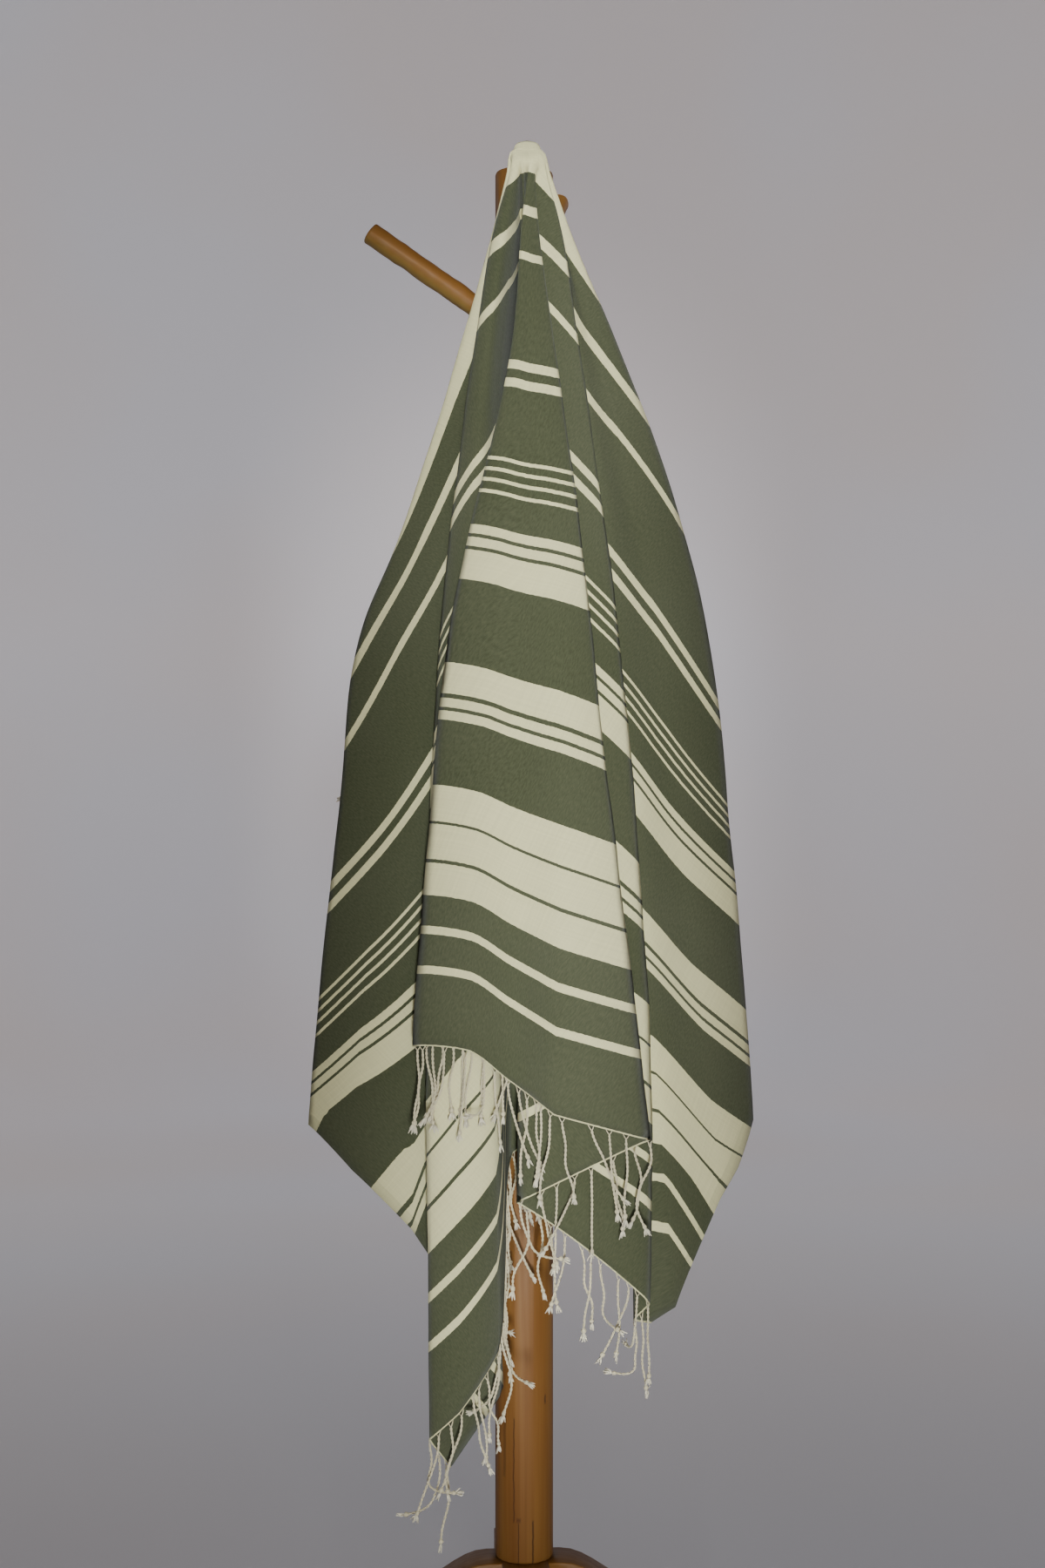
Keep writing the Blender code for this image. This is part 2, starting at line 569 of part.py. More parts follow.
def make_towel(cloth, collection, cotton):
    flat = back_columns(cloth, 1.0)[::-1] + front_columns(cloth) + back_columns(cloth, -1.0)
    flat = np.array(flat)
    flat[:, :, 1] = np.where(np.abs(flat[:, :, 1]) < 1e-9, 0.0, flat[:, :, 1])
    places = cloth.place(flat[:, :, 0], flat[:, :, 1])
    bm = bmesh.new()
    verts = [[bm.verts.new(p) for p in column] for column in places]
    for left, right in zip(verts, verts[1:]):
        for k in range(len(left) - 1):
            bm.faces.new((left[k], left[k + 1], right[k + 1], right[k]))
    bmesh.ops.remove_doubles(bm, verts=bm.verts, dist=0.00005)
    bmesh.ops.recalc_face_normals(bm, faces=bm.faces)
    mesh = bpy.data.meshes.new("towel_cloth")
    bm.to_mesh(mesh)
    bm.free()
    mesh.shade_smooth()
    towel = add_object("towel_cloth", mesh, collection, cotton)
    wall = towel.modifiers.new("thickness", "SOLIDIFY")
    wall.thickness = CLOTH_THICK
    wall.offset = 0.0
    return towel


# ---- fringe ------------------------------------------------------------
def unit(vector):
    return vector / np.linalg.norm(vector)


def units(vectors):
    return vectors / np.linalg.norm(vectors, axis=1)[:, None]


def strand_sections(root, outward, way):
    """The corner rings of a strand, from its root on the strip to its tip."""
    centre = root.mean(axis=0)
    through = root[2] - root[1]
    turned = np.dot(np.cross(through, outward), root[1] - root[0]) < 0
    through = unit(through - unit(way) * np.dot(through, unit(way))) * FRINGE_TIP / 2
    side = unit(np.cross(through, way)) * (-FRINGE_TIP if turned else FRINGE_TIP) / 2
    square = np.array([-side - through, side - through, side + through, through - side])
    rolled = [np.roll(square, corner, axis=0) for corner in range(4)]
    square = min(rolled, key=lambda ring: np.linalg.norm(ring - root + centre, axis=1).sum())
    return [centre + way * FRINGE_LENGTH * share + square for share in FRINGE_RINGS]


def free_way(root, heading, placed, surface):
    """The way a strand hangs: the first lean that keeps it off the cloth and its neighbours."""
    centre = root.mean(axis=0)
    shares = np.linspace(0.2, 1.0, 9)[:, None]
    best_gap, best_way = -1.0, heading
    for lean in FRINGE_LEANS:
        way = heading + np.array((lean[0], lean[1], 0.0))
        points = centre + way * FRINGE_LENGTH * shares
        gap = min(surface.find_nearest(Vector(p))[3] for p in points)
        if placed:
            others = np.array(placed[-FRINGE_NEIGHBOURS:]).reshape(-1, 1, 3)
            gap = min(gap, np.linalg.norm(others - points[None], axis=2).min())
        if gap > best_gap:
            best_gap, best_way = gap, way
        if gap >= FRINGE_APART:
            break
    placed.append(centre + best_way * FRINGE_LENGTH * shares)
    return best_way


def fringe_cells(knots, noses, end):
    """Places along a fringed end where its strip is divided, and which cells bear a strand."""
    width = CLOTH_LEFT + CLOTH_RIGHT
    count = int(width / FRINGE_PITCH)
    pitch = width / count
    cells = []
    for k in range(count):
        middle = CLOTH_LEFT - pitch * (k + 0.5)
        over_peg = end < 0 and abs(middle) < FRINGE_CLEAR_OF_PEG
        if not over_peg and all(abs(middle - nose) > NOSE_FREE for nose in noses):
            cells.append((middle + FRINGE_ROOT / 2, middle - FRINGE_ROOT / 2))
    beside = [nose + side * NOSE_REACH for nose in noses for side in (-1, 1)]
    free = [u for u in list(knots) + beside
            if not any(low - 0.001 < u < high + 0.001 for high, low in cells)]
    edges = sorted(free + [u for cell in cells for u in cell], reverse=True)
    starts = {high for high, _ in cells}
    return np.array(edges), [u in starts for u in edges]


def sharp_turns(knots, edge):
    """The places where a fringed end doubles back on itself, with the way each nose points."""
    come = edge - along_edge(knots + NOSE_CHORD, knots, edge)
    leave = along_edge(knots - NOSE_CHORD, knots, edge) - edge
    turns = []
    for k in range(1, len(knots) - 1):
        into, out = unit(come[k]), unit(leave[k])
        if np.dot(into, out) > NOSE_TURN:
            continue
        if turns and turns[-1][0] - knots[k] < NOSE_CHORD:
            if turns[-1][2] < np.dot(into, out):
                continue
            turns.pop()
        turns.append((knots[k], unit(into - out), np.dot(into, out)))
    return [(place, way) for place, way, _ in turns]


def fringed_end(cloth, end):
    """Flat places along a fringed end at which the cloth's own edge is divided."""
    if end > 0:
        return np.array([column[-1][0] for column in front_columns(cloth)
                         if column[-1][1] > CLOTH_HALF - FIT_GAP])
    rows = np.array(ROWS)
    return np.concatenate([(rows * CLOTH_LEFT)[::-1], -(rows * CLOTH_RIGHT)[1:]])


def along_edge(u, knots, places):
    """Places between the divisions of the cloth's edge, on its straight stretches."""
    return np.stack([np.interp(-u, -knots, places[:, k]) for k in range(3)], axis=1)


def make_fringe(name, cloth, end, surface, collection, yarn):
    """A narrow strip along one fringed end, with strands drawn out of its lower face."""
    rng = random.Random(FRINGE_SEED)
    knots = fringed_end(cloth, end)
    edge = cloth.place(knots, np.full(len(knots), end * CLOTH_HALF))
    beyond = cloth.place(knots, np.full(len(knots), end * (CLOTH_HALF + FRINGE_STRIP)))
    tangent = units(np.gradient(edge, axis=0))
    outward = beyond - edge
    outward = units(outward - tangent * (outward * tangent).sum(axis=1)[:, None])
    turns = sharp_turns(knots, edge)
    u, is_strand = fringe_cells(knots, [nose for nose, _ in turns], end)
    near = along_edge(u, knots, edge + outward * FRINGE_GAP)
    down = along_edge(u, knots, outward)
    breadth = np.full(len(u), FRINGE_STRIP)
    for nose, way in turns:
        close = np.clip(1.0 - np.abs(u - nose) / NOSE_REACH, 0.0, 1.0)
        near += close[:, None] * way * NOSE_PUSH
        breadth *= 1.0 - NOSE_NARROWING * close
    far = near + down * breadth[:, None]
    lengthwise = np.gradient(near, axis=0)
    faces_out = units(np.cross(lengthwise, far - near))
    half = faces_out * FRINGE_STRIP_THICK / 2
    rings = [np.array(ring) for ring in zip(near + half, near - half, far - half, far + half)]
    placed = []
    bm = bmesh.new()
    verts = [[bm.verts.new(p) for p in ring] for ring in rings]
    for i, (left, right) in enumerate(zip(verts, verts[1:])):
        for a, b in ((0, 1), (1, 2), (3, 0)):
            bm.faces.new((left[a], left[b], right[b], right[a]))
        lower = (left[2], right[2], right[3], left[3])
        if not is_strand[i]:
            bm.faces.new(lower)
            continue
        root = np.array([v.co for v in lower])
        from_edge = unit(far[i] - near[i])
        if end > 0:
            heading = unit(from_edge * FRINGE_OUTWARD + np.array((0.0, 0.0, -1.0)))
        else:
            splay = math.radians(FRINGE_SPLAY)
            away = -1.0 if u[i] > 0 else 1.0
            level = unit(np.array((away, FRINGE_BACKWARDS, 0.0)))
            heading = level * math.sin(splay) - np.array((0.0, 0.0, math.cos(splay)))
        stray = np.array([rng.uniform(-most, most) for most in FRINGE_STRAY] + [0.0])
        way = free_way(root, heading + stray, placed, surface)
        ring = lower
        for section in strand_sections(root, from_edge, way):
            nxt = [bm.verts.new(p) for p in section]
            for a in range(4):
                b = (a + 1) % 4
                bm.faces.new((ring[a], ring[b], nxt[b], nxt[a]))
            ring = nxt
        bm.faces.new(ring)
    bm.faces.new(verts[0])
    bm.faces.new(reversed(verts[-1]))
    bmesh.ops.recalc_face_normals(bm, faces=bm.faces)
    mesh = bpy.data.meshes.new(name)
    bm.to_mesh(mesh)
    bm.free()
    return add_object(name, mesh, collection, yarn)


def main():
    clear_scene()
    parts = new_collection(COLLECTION)
    tools = new_collection("cutters")
    wood = material("oiled wood", (0.55, 0.28, 0.10), 0.5)
    cotton = material("sage cotton", (0.30, 0.33, 0.20), 0.9)
    yarn = material("cream yarn", (0.80, 0.77, 0.66), 0.9)
    make_stand(parts, tools, wood)
    make_feet(parts, tools, wood)
    cloth = HungCloth()
    towel = make_towel(cloth, parts, cotton)
    corners = [vertex.co for vertex in towel.data.vertices]
    surface = BVHTree.FromPolygons(corners, [face.vertices for face in towel.data.polygons])
    make_fringe("front_fringe", cloth, 1.0, surface, parts, yarn)
    make_fringe("back_fringe", cloth, -1.0, surface, parts, yarn)


main()
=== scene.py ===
"""A striped hammam towel over the front peg of a wooden coat stand: cloth, fringe, wood and light.

The file is laid out as an add-on. Run as a script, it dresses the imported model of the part.
Metres throughout, +Z up, X to the right and -Y towards the front.
"""
import math
import random

import bmesh
import bpy
import numpy as np
from bpy.props import FloatProperty, FloatVectorProperty, IntProperty, PointerProperty
from mathutils import Matrix, Vector, noise
from mathutils.bvhtree import BVHTree


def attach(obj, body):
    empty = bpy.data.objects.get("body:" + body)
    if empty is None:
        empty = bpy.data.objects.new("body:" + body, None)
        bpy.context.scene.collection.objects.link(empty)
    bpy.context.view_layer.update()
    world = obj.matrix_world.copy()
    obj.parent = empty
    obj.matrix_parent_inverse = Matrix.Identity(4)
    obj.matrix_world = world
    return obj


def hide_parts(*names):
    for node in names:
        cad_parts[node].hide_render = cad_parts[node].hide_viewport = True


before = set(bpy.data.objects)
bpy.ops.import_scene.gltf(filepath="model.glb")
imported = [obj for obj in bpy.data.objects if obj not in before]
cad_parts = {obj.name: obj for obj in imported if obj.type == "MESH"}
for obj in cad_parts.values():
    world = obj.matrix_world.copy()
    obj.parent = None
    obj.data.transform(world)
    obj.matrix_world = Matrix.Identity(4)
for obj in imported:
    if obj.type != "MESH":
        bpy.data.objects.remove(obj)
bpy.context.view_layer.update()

bl_info = {
    "name": "Hammam towel on a coat stand",
    "version": (1, 0, 0),
    "blender": (4, 5, 0),
    "location": "View3D > Sidebar > Towel",
    "description": "Hangs a striped, fringed towel over a peg and finishes the stand",
    "category": "Object",
}

BODY = "root"

# ---- the stand, as built ----------------------------------------------
PEG_DIAMETER = 0.0262
PEG_REACH = 0.187
PEG_RISE = 0.130
FOOT_TURN = 3.0
# name, turn about the post (0 is the front, 90 the right), height of its axis at the post
PEGS = (("front_peg", 1.0, 1.592), ("left_peg", -90.0, 1.5495), ("back_peg", 166.0, 1.634))

# mark on the post's front, place across it, its foot and head, half width and depth of tone
POST_MARKS = (
    ("long crack", -0.0124, 0.127, 0.255, 0.0010, 0.70),
    ("knot", -0.0067, 0.1275, 0.1355, 0.0034, 0.60),
    ("crack below the knot", -0.0067, 0.060, 0.130, 0.0009, 0.70),
    ("right crack", 0.0105, 0.060, 0.1325, 0.0013, 0.80),
    ("nick", 0.0250, 0.267, 0.281, 0.0012, 0.80),
    ("faint strip", -0.0235, 0.180, 0.262, 0.0022, 0.35),
)

# ---- how the cloth hangs, as in the part's own source -------------------
CLOTH_LEFT = 1.13
CLOTH_RIGHT = 0.922
CLOTH_HALF = 1.00
CLOTH_CLEAR = 0.0034
NECK_SHARE = 0.3
EVEN_STEPS = 12
GAP_POWER = 0.7
GAP_LEAST = 2e-3
DROPS = (0.08, 0.20, 0.45, 0.52, 0.75, 1.05, 1.40)
ANGLE_STEP = 0.3
# name, angles in the flat cloth each ANGLE_STEP from the peg, slack, across at DROPS, back at DROPS
# Slack is the length that small waves take up at one metre from the peg.
FOLDS = (
    ("left centre line", (90.0, 90.0, 90.0, 90.0, 90.0), 0.0,
     (-0.027, -0.060, -0.130, -0.1423, -0.165, -0.170, -0.170),
     (0.032, 0.056, 0.092, 0.1009, 0.125, 0.135, 0.135)),
    ("left back valley", (89.8, 89.4, 88.6, 84.0, 78.0), 0.0,
     (-0.024, -0.052, -0.115, -0.122, -0.125, -0.135, -0.140),
     (0.026, 0.046, 0.076, 0.0835, 0.104, 0.112, 0.112)),
    ("left outline", (89.6, 88.6, 84.9, 75.2, 67.4), 0.042,
     (-0.034, -0.069, -0.152, -0.1825, -0.215, -0.246, -0.268),
     (0.018, 0.032, 0.054, 0.0587, 0.070, 0.078, 0.082)),
    ("left sheet", (88.5, 84.5, 78.8, 71.0, 64.0), 0.036,
     (-0.030, -0.060, -0.122, -0.140, -0.164, -0.194, -0.210),
     (0.014, 0.027, 0.052, 0.058, 0.074, 0.083, 0.088)),
    ("left sheet inner", (88.0, 80.5, 72.8, 66.2, 60.8), 0.020,
     (-0.024, -0.048, -0.088, -0.0952, -0.110, -0.126, -0.134),
     (0.015, 0.029, 0.058, 0.0643, 0.080, 0.090, 0.094)),
    ("left valley", (75.0, 67.2, 61.0, 56.3, 52.2), 0.0,
     (-0.014, -0.026, -0.048, -0.0504, -0.050, -0.044, -0.026),
     (0.012, 0.023, 0.048, 0.054, 0.070, 0.078, 0.078)),
    ("left roll edge", (56.0, 54.0, 51.6, 49.6, 49.1, 47.0), 0.0,
     (-0.032, -0.053, -0.087, -0.0935, -0.107, -0.111, -0.107),
     (0.004, 0.010, 0.024, 0.0264, 0.030, 0.026, 0.014)),
    ("left roll", (51.0, 48.2, 45.8, 46.3, 47.0, 45.4), 0.0,
     (-0.022, -0.038, -0.064, -0.0685, -0.076, -0.076, -0.073),
     (-0.003, 0.001, 0.012, 0.0144, 0.020, 0.019, 0.008)),
    ("left roll inner", (38.0, 40.0, 42.2, 44.0, 44.4, 41.9), 0.0,
     (-0.011, -0.025, -0.036, -0.0376, -0.039, -0.034, -0.029),
     (0.009, 0.018, 0.032, 0.0347, 0.040, 0.040, 0.034)),
    ("inner back left", (28.0, 30.0, 31.5, 32.0, 32.0), 0.0,
     (-0.004, -0.010, -0.016, -0.0166, -0.016, -0.014, -0.012),
     (0.040, 0.075, 0.112, 0.1181, 0.128, 0.132, 0.132)),
    ("inner front left", (20.0, 21.8, 23.5, 25.0, 26.5), 0.0,
     (0.000, -0.003, 0.004, 0.0074, 0.022, 0.044, 0.060),
     (0.018, 0.034, 0.060, 0.0637, 0.068, 0.070, 0.070)),
    ("inner back right", (11.0, 12.6, 14.0, 15.3, 16.5), 0.0,
     (0.005, 0.006, 0.022, 0.0262, 0.038, 0.044, 0.046),
     (0.044, 0.080, 0.114, 0.1195, 0.128, 0.132, 0.132)),
    ("inner front right", (2.0, 3.4, 4.5, 5.1, 5.5), 0.0,
     (0.007, 0.013, 0.042, 0.0495, 0.070, 0.078, 0.078),
     (0.018, 0.034, 0.052, 0.055, 0.060, 0.064, 0.064)),
    ("behind the panel", (-5.0, -5.0, -5.0, -5.0, -5.0), 0.0,
     (-0.001, -0.006, -0.034, -0.0403, -0.056, -0.064, -0.066),
     (0.002, 0.004, 0.009, 0.0095, 0.010, 0.014, 0.017)),
    ("front left ridge", (-8.5, -9.6, -11.4, -11.7, -12.2), 0.0,
     (-0.002, -0.011, -0.0665, -0.081, -0.106, -0.1285, -0.140),
     (-0.008, -0.008, -0.005, -0.004, 0.000, 0.006, 0.010)),
    ("panel left flute", (-11.0, -11.5, -14.0, -14.7, -14.3), 0.014,
     (-0.001, -0.005, -0.034, -0.040, -0.054, -0.062, -0.066),
     (-0.009, -0.011, -0.012, -0.0119, -0.010, -0.004, 0.000)),
    ("panel valley", (-14.0, -12.9, -15.8, -18.3, -18.4), 0.0,
     (0.003, 0.004, -0.004, -0.0051, -0.007, -0.012, -0.014),
     (-0.008, -0.008, -0.006, -0.0049, 0.000, 0.008, 0.012)),
    ("panel right flute", (-17.5, -15.5, -19.5, -22.4, -23.6), 0.0,
     (0.007, 0.013, 0.028, 0.032, 0.042, 0.034, 0.030),
     (-0.006, -0.007, -0.009, -0.0094, -0.010, -0.008, -0.004)),
    ("front right ridge", (-21.0, -19.5, -24.3, -26.6, -27.6), 0.0,
     (0.015, 0.031, 0.066, 0.0735, 0.100, 0.135, 0.166),
     (0.000, 0.001, 0.001, 0.0011, 0.002, 0.004, 0.006)),
    ("right valley", (-48.0, -39.0, -35.0, -34.5, -33.4), 0.0,
     (0.006, 0.010, 0.008, 0.0065, 0.000, -0.007, -0.010),
     (0.010, 0.013, 0.016, 0.0164, 0.017, 0.020, 0.022)),
    ("right strip ridge", (-68.0, -55.0, -48.3, -45.0, -41.3), 0.0,
     (0.040, 0.0595, 0.097, 0.105, 0.127, 0.145, 0.141),
     (0.010, 0.018, 0.030, 0.032, 0.036, 0.042, 0.044)),
    ("right pleat", (-73.0, -59.0, -50.8, -46.8, -42.3), 0.0,
     (0.018, 0.034, 0.064, 0.0712, 0.092, 0.116, 0.128),
     (0.016, 0.028, 0.042, 0.0446, 0.050, 0.056, 0.058)),
    ("right sheet inner", (-77.0, -65.0, -54.8, -49.0, -43.2), 0.0,
     (0.040, 0.060, 0.098, 0.1023, 0.127, 0.152, 0.182),
     (0.022, 0.036, 0.054, 0.0569, 0.062, 0.068, 0.070)),
    ("right sheet", (-82.0, -70.2, -62.0, -54.4, -48.7), 0.0,
     (0.039, 0.074, 0.138, 0.1498, 0.176, 0.212, 0.243),
     (0.016, 0.028, 0.040, 0.0416, 0.044, 0.050, 0.052)),
    ("right outline", (-88.0, -78.5, -71.8, -59.8, -51.7), 0.0,
     (0.050, 0.101, 0.191, 0.2075, 0.2355, 0.2615, 0.277),
     (0.020, 0.034, 0.052, 0.0552, 0.062, 0.068, 0.070)),
    ("right back valley", (-89.0, -83.5, -78.0, -70.5, -64.0), 0.0,
     (0.030, 0.050, 0.086, 0.0929, 0.108, 0.118, 0.118),
     (0.034, 0.055, 0.082, 0.0865, 0.094, 0.098, 0.098)),
    ("right back ridge", (-89.5, -86.5, -83.5, -80.0, -76.0), 0.0,
     (0.036, 0.070, 0.142, 0.1549, 0.180, 0.190, 0.190),
     (0.040, 0.066, 0.098, 0.1043, 0.118, 0.122, 0.122)),
    ("right centre line", (-90.0, -90.0, -90.0, -90.0, -90.0), 0.0,
     (0.026, 0.046, 0.092, 0.1028, 0.130, 0.135, 0.135),
     (0.046, 0.078, 0.114, 0.1214, 0.138, 0.142, 0.142)),
)
GATHER_REACH = 0.150
GATHER_LAG = 0.006
BACK_TURN = 0.010
BACK_PLEATS = 5
BACK_INNER = (0.019, 0.030, 0.044, 0.045, 0.050, 0.050, 0.050)
BACK_LAST = (0.132, 0.140, 0.165, 0.171, 0.192, 0.208, 0.210)

# ---- how fine the cloth's mesh is ---------------------------------------
NEAR_ROWS = (0.0, 0.002, 0.004, 0.0065, 0.009, 0.0115, 0.0145, 0.018, 0.023, 0.029, 0.036, 0.044)
CORNER_REACH = 1.25        # columns are counted at this share of the half length from the peg
FEWEST_COLUMNS = 5         # in a fold of the front
FEWEST_IN_PLEAT = 4        # in half a pleat of the back
BACK_CELLS = 1.6           # width of the back's columns in cells
RIM_COLUMNS = 4
ROW_ROUNDS = 8             # rounds in which a column finds its own length
RUMPLE_FULL = 0.35         # the soft waves have their full height this far from the peg
RUMPLE_TURN = 7.0          # degrees of the flat cloth that a wave takes

# ---- the weave's plan ---------------------------------------------------
# Cream bands across the cloth, the same on both sides of its centre line.
# name, where it starts and where it ends, from the centre line
STRIPES = (
    ("centre band", -0.001, 0.030),
    ("first line", 0.066, 0.077),
    ("second line", 0.117, 0.126),
    ("pair, upper", 0.238, 0.248),
    ("pair, lower", 0.258, 0.268),
    ("four lines, first", 0.346, 0.350),
    ("four lines, second", 0.358, 0.362),
    ("four lines, third", 0.370, 0.374),
    ("four lines, fourth", 0.383, 0.387),
    ("step, first", 0.423, 0.433),
    ("step, second", 0.437, 0.447),
    ("step, band", 0.451, 0.484),
    ("wide band", 0.576, 0.610),
    ("wide band, first line", 0.615, 0.625),
    ("wide band, second line", 0.629, 0.639),
    ("triple band, first", 0.711, 0.751),
    ("triple band, second", 0.754, 0.793),
    ("triple band, third", 0.797, 0.833),
    ("end line, first", 0.867, 0.876),
    ("end line, second", 0.911, 0.920),
    ("binding thread", 0.9985, 1.002),
)

# ---- how the cords of the fringe are made -------------------------------
CORD_STEPS = 18            # stretches of a cord's middle line
CORD_TRIES = 9
CORD_FREE = 0.0036         # a route that keeps this far from the cloth is taken at once
CORD_SHARES = (0.9, 1.08)  # least and greatest share of the set length
CORD_STRAY = 0.28          # how far a cord strays from its even place, as a share of the pitch
CORD_LEAN = (0.24, 0.12)   # how much cords lean to the side and to the front
CORD_LEAVE = 1.1           # how strongly a cord first keeps to the way of the warp
CORD_WAVE = (0.10, 0.46)
CORD_TURNS = (0.7, 1.9)
HOOK_SHARE = 0.18          # share of the cords whose end curls up
HOOK_CURL = (0.7, 1.6)
HOOK_START = 0.6
BACK_CORDS_FROM = 0.04     # the back end has no cords nearer to its middle, where it is on the peg
BACK_CORDS_TO = 1.07       # and none further to the left
RINGS_IN_LAY = 7
PLY_OFFSET = 0.44          # from a cord's middle line to that of a ply, as a share of the ply
ROOT_LENGTH = 0.007        # where the plies are still apart and thin
ROOT_APART = 0.0034
ROOT_TAPER = 0.45
KNOT_SIZES = (1.25, 1.6)
KNOT_OUTLINE = ((-1.0, 0.45), (-0.55, 0.95), (0.0, 1.1), (0.55, 0.95), (1.0, 0.5))
KNOT_SIDES = 8
KNOT_LUMPS = 0.16
TUFT_YARNS = 9
TUFT_SPLAY = 0.34
TUFT_LENGTHS = (0.006, 0.0115)
TUFT_RADII = (0.0011, 0.0010, 0.0004)

# ---- finish of the cloth, the wood and the floor ------------------------
STRIPE_WANDER = 0.0012     # how far the edge of a stripe wanders
HEM_STEP = 0.0006
HEM_SHADE = (0.05, 0.055, 0.035)
FADED = (0.40, 0.39, 0.30)
HEW_CELL = 0.0013
DENT_LENGTH = 0.022
MARK_BROWN = (0.028, 0.009, 0.004)
# painted shade: olive on the lower side of the pegs
OLIVE_PAINTED_SHADE = (0.20, 0.15, 0.040)
# painted shade: the floor is darker at the stand than at the backdrop
FLOOR_PAINTED_SHADE = 0.62          # tone of the floor at the stand, as a share of the backdrop's

# ---- the stage ----------------------------------------------------------
FLOOR_RADIUS = 4.2
COVE = 1.6
COVE_STEPS = 12
WALL_TOP = 4.5
CAMERA_ACROSS = -0.002
LIGHT_AIM = (0.0, 0.0, 0.95)
# light, its place and its size
FILLS = (
    ("left fill", (-2.4, 1.5, 1.7), 1.6),
    ("right fill", (2.4, 1.7, 1.9), 1.6),
    ("back fill", (-0.3, 2.9, 2.1), 1.8),
)


# ---- settings -----------------------------------------------------------
class TowelSettings(bpy.types.PropertyGroup):
    cell: FloatProperty(name="Cell", description="Size of the cloth's mesh cells",
                        default=0.0112, unit="LENGTH")
    thickness: FloatProperty(name="Thickness", description="Thickness of the cloth",
                             default=0.0012, unit="LENGTH")
    hem_width: FloatProperty(name="Side hem", description="Width of the sewn side hems",
                             default=0.015, unit="LENGTH")
    rumple: FloatProperty(name="Rumple", description="Height of the soft waves between folds",
                          default=0.0027, unit="LENGTH")
    sage: FloatVectorProperty(name="Sage", description="Colour of the green weft",
                              subtype="COLOR", default=(0.045, 0.0515, 0.0225))
    sage_fleck: FloatVectorProperty(name="Sage fleck", description="Green where the warp shows",
                                    subtype="COLOR", default=(0.073, 0.080, 0.0405))
    cream: FloatVectorProperty(name="Cream", description="Colour of the cream weft",
                               subtype="COLOR", default=(0.70, 0.66, 0.37))


class FringeSettings(bpy.types.PropertyGroup):
    cords: IntProperty(name="Cords", description="Twisted cords along each end", default=104)
    length: FloatProperty(name="Length", description="Length of a cord down to its knot",
                          default=0.086, unit="LENGTH")
    ply: FloatProperty(name="Ply", description="Diameter of each of a cord's two plies",
                       default=0.0017, unit="LENGTH")
    lay: FloatProperty(name="Lay", description="Length in which a ply goes once round",
                       default=0.010, unit="LENGTH")
    yarn: FloatVectorProperty(name="Yarn", description="Colour of the cords",
                              subtype="COLOR", default=(0.64, 0.57, 0.38))
    tuft: FloatVectorProperty(name="Tuft", description="Colour of the cords' cut ends",
                              subtype="COLOR", default=(0.72, 0.66, 0.50))
    seed: IntProperty(name="Seed", description="Seed of the cords' curls", default=11)


class WoodSettings(bpy.types.PropertyGroup):
    light: FloatVectorProperty(name="Light wood", description="Colour between the grain lines",
                               subtype="COLOR", default=(0.25, 0.118, 0.027))
    dark: FloatVectorProperty(name="Dark wood", description="Colour of the grain lines",
                              subtype="COLOR", default=(0.17, 0.066, 0.012))
    roughness: FloatProperty(name="Roughness", description="Roughness of the oiled surface",
                             default=0.5, subtype="FACTOR")
    unevenness: FloatProperty(name="Unevenness", description="Height of the dents in the pegs",
                              default=0.0024, unit="LENGTH")


class StageSettings(bpy.types.PropertyGroup):
    floor: FloatVectorProperty(name="Floor", description="Colour of the floor and backdrop",
                               subtype="COLOR", default=(0.84, 0.83, 0.88))
    floor_warm: FloatVectorProperty(name="Warm floor", subtype="COLOR", default=(0.86, 0.80, 0.80),
                                    description="Second colour of the floor and backdrop")
    # painted light: the floor and backdrop glow by an emission in their own material, most behind the
    # stand
    glow: FloatProperty(name="Backdrop glow", default=0.30,
                        description="Light that comes through the backdrop behind the stand")
    key: FloatProperty(name="Key light", description="Power of the large front light",
                       default=12.0, unit="POWER")
    fill: FloatProperty(name="Fill light", description="Power of each side light",
                        default=2.4, unit="POWER")
    strip: FloatProperty(name="Strip light", description="Power of the tall, narrow front light",
                         default=3.8, unit="POWER")
    camera_height: FloatProperty(name="Camera height", description="Height of the camera",
                                 default=1.012, unit="LENGTH")
    camera_distance: FloatProperty(name="Camera distance", unit="LENGTH", default=2.637,
                                   description="From the axis of the post to the camera")
    focal: FloatProperty(name="Focal length", description="In millimetres on a 36 mm frame",
                         default=50.0)


# ---- small helpers ------------------------------------------------------
def unit(vector):
    return vector / np.linalg.norm(vector)


def units(vectors):
    return vectors / np.maximum(np.linalg.norm(vectors, axis=-1, keepdims=True), 1e-12)


def peg_axis(turn):
    """The way a peg points, from its turn about the post."""
    level = math.radians(turn)
    return unit(np.array((math.sin(level) * PEG_REACH, -math.cos(level) * PEG_REACH, PEG_RISE)))


def upward(axis):
    """The way square to an axis that points the most upwards."""
    return unit(np.array((0.0, 0.0, 1.0)) - axis * axis[2])


def between(places, stops, points):
    """Points read off between others, at places in the same measure as the others' stops."""
    return np.stack([np.interp(places, stops, points[:, k]) for k in range(3)], axis=-1)


def new_piece(name, mesh, *materials):
    """A finished piece at the origin, riding on the part's one body."""
    piece = bpy.data.objects.new(name, mesh)
    bpy.context.scene.collection.objects.link(piece)
    for mat in materials:
        piece.data.materials.append(mat)
    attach(piece, BODY)
    return piece


def select_only(piece):
    bpy.ops.object.select_all(action="DESELECT")
    piece.select_set(True)
    bpy.context.view_layer.objects.active = piece


def apply_modifiers(piece):
    select_only(piece)
    for mod in list(piece.modifiers):
        bpy.ops.object.modifier_apply(modifier=mod.name)


# ---- the hung cloth -----------------------------------------------------
def hermite(start, end, leave, arrive, t):
    return ((2 * t ** 3 - 3 * t ** 2 + 1) * start + (t ** 3 - 2 * t ** 2 + t) * leave
            + (3 * t ** 2 - 2 * t ** 3) * end + (t ** 3 - t ** 2) * arrive)


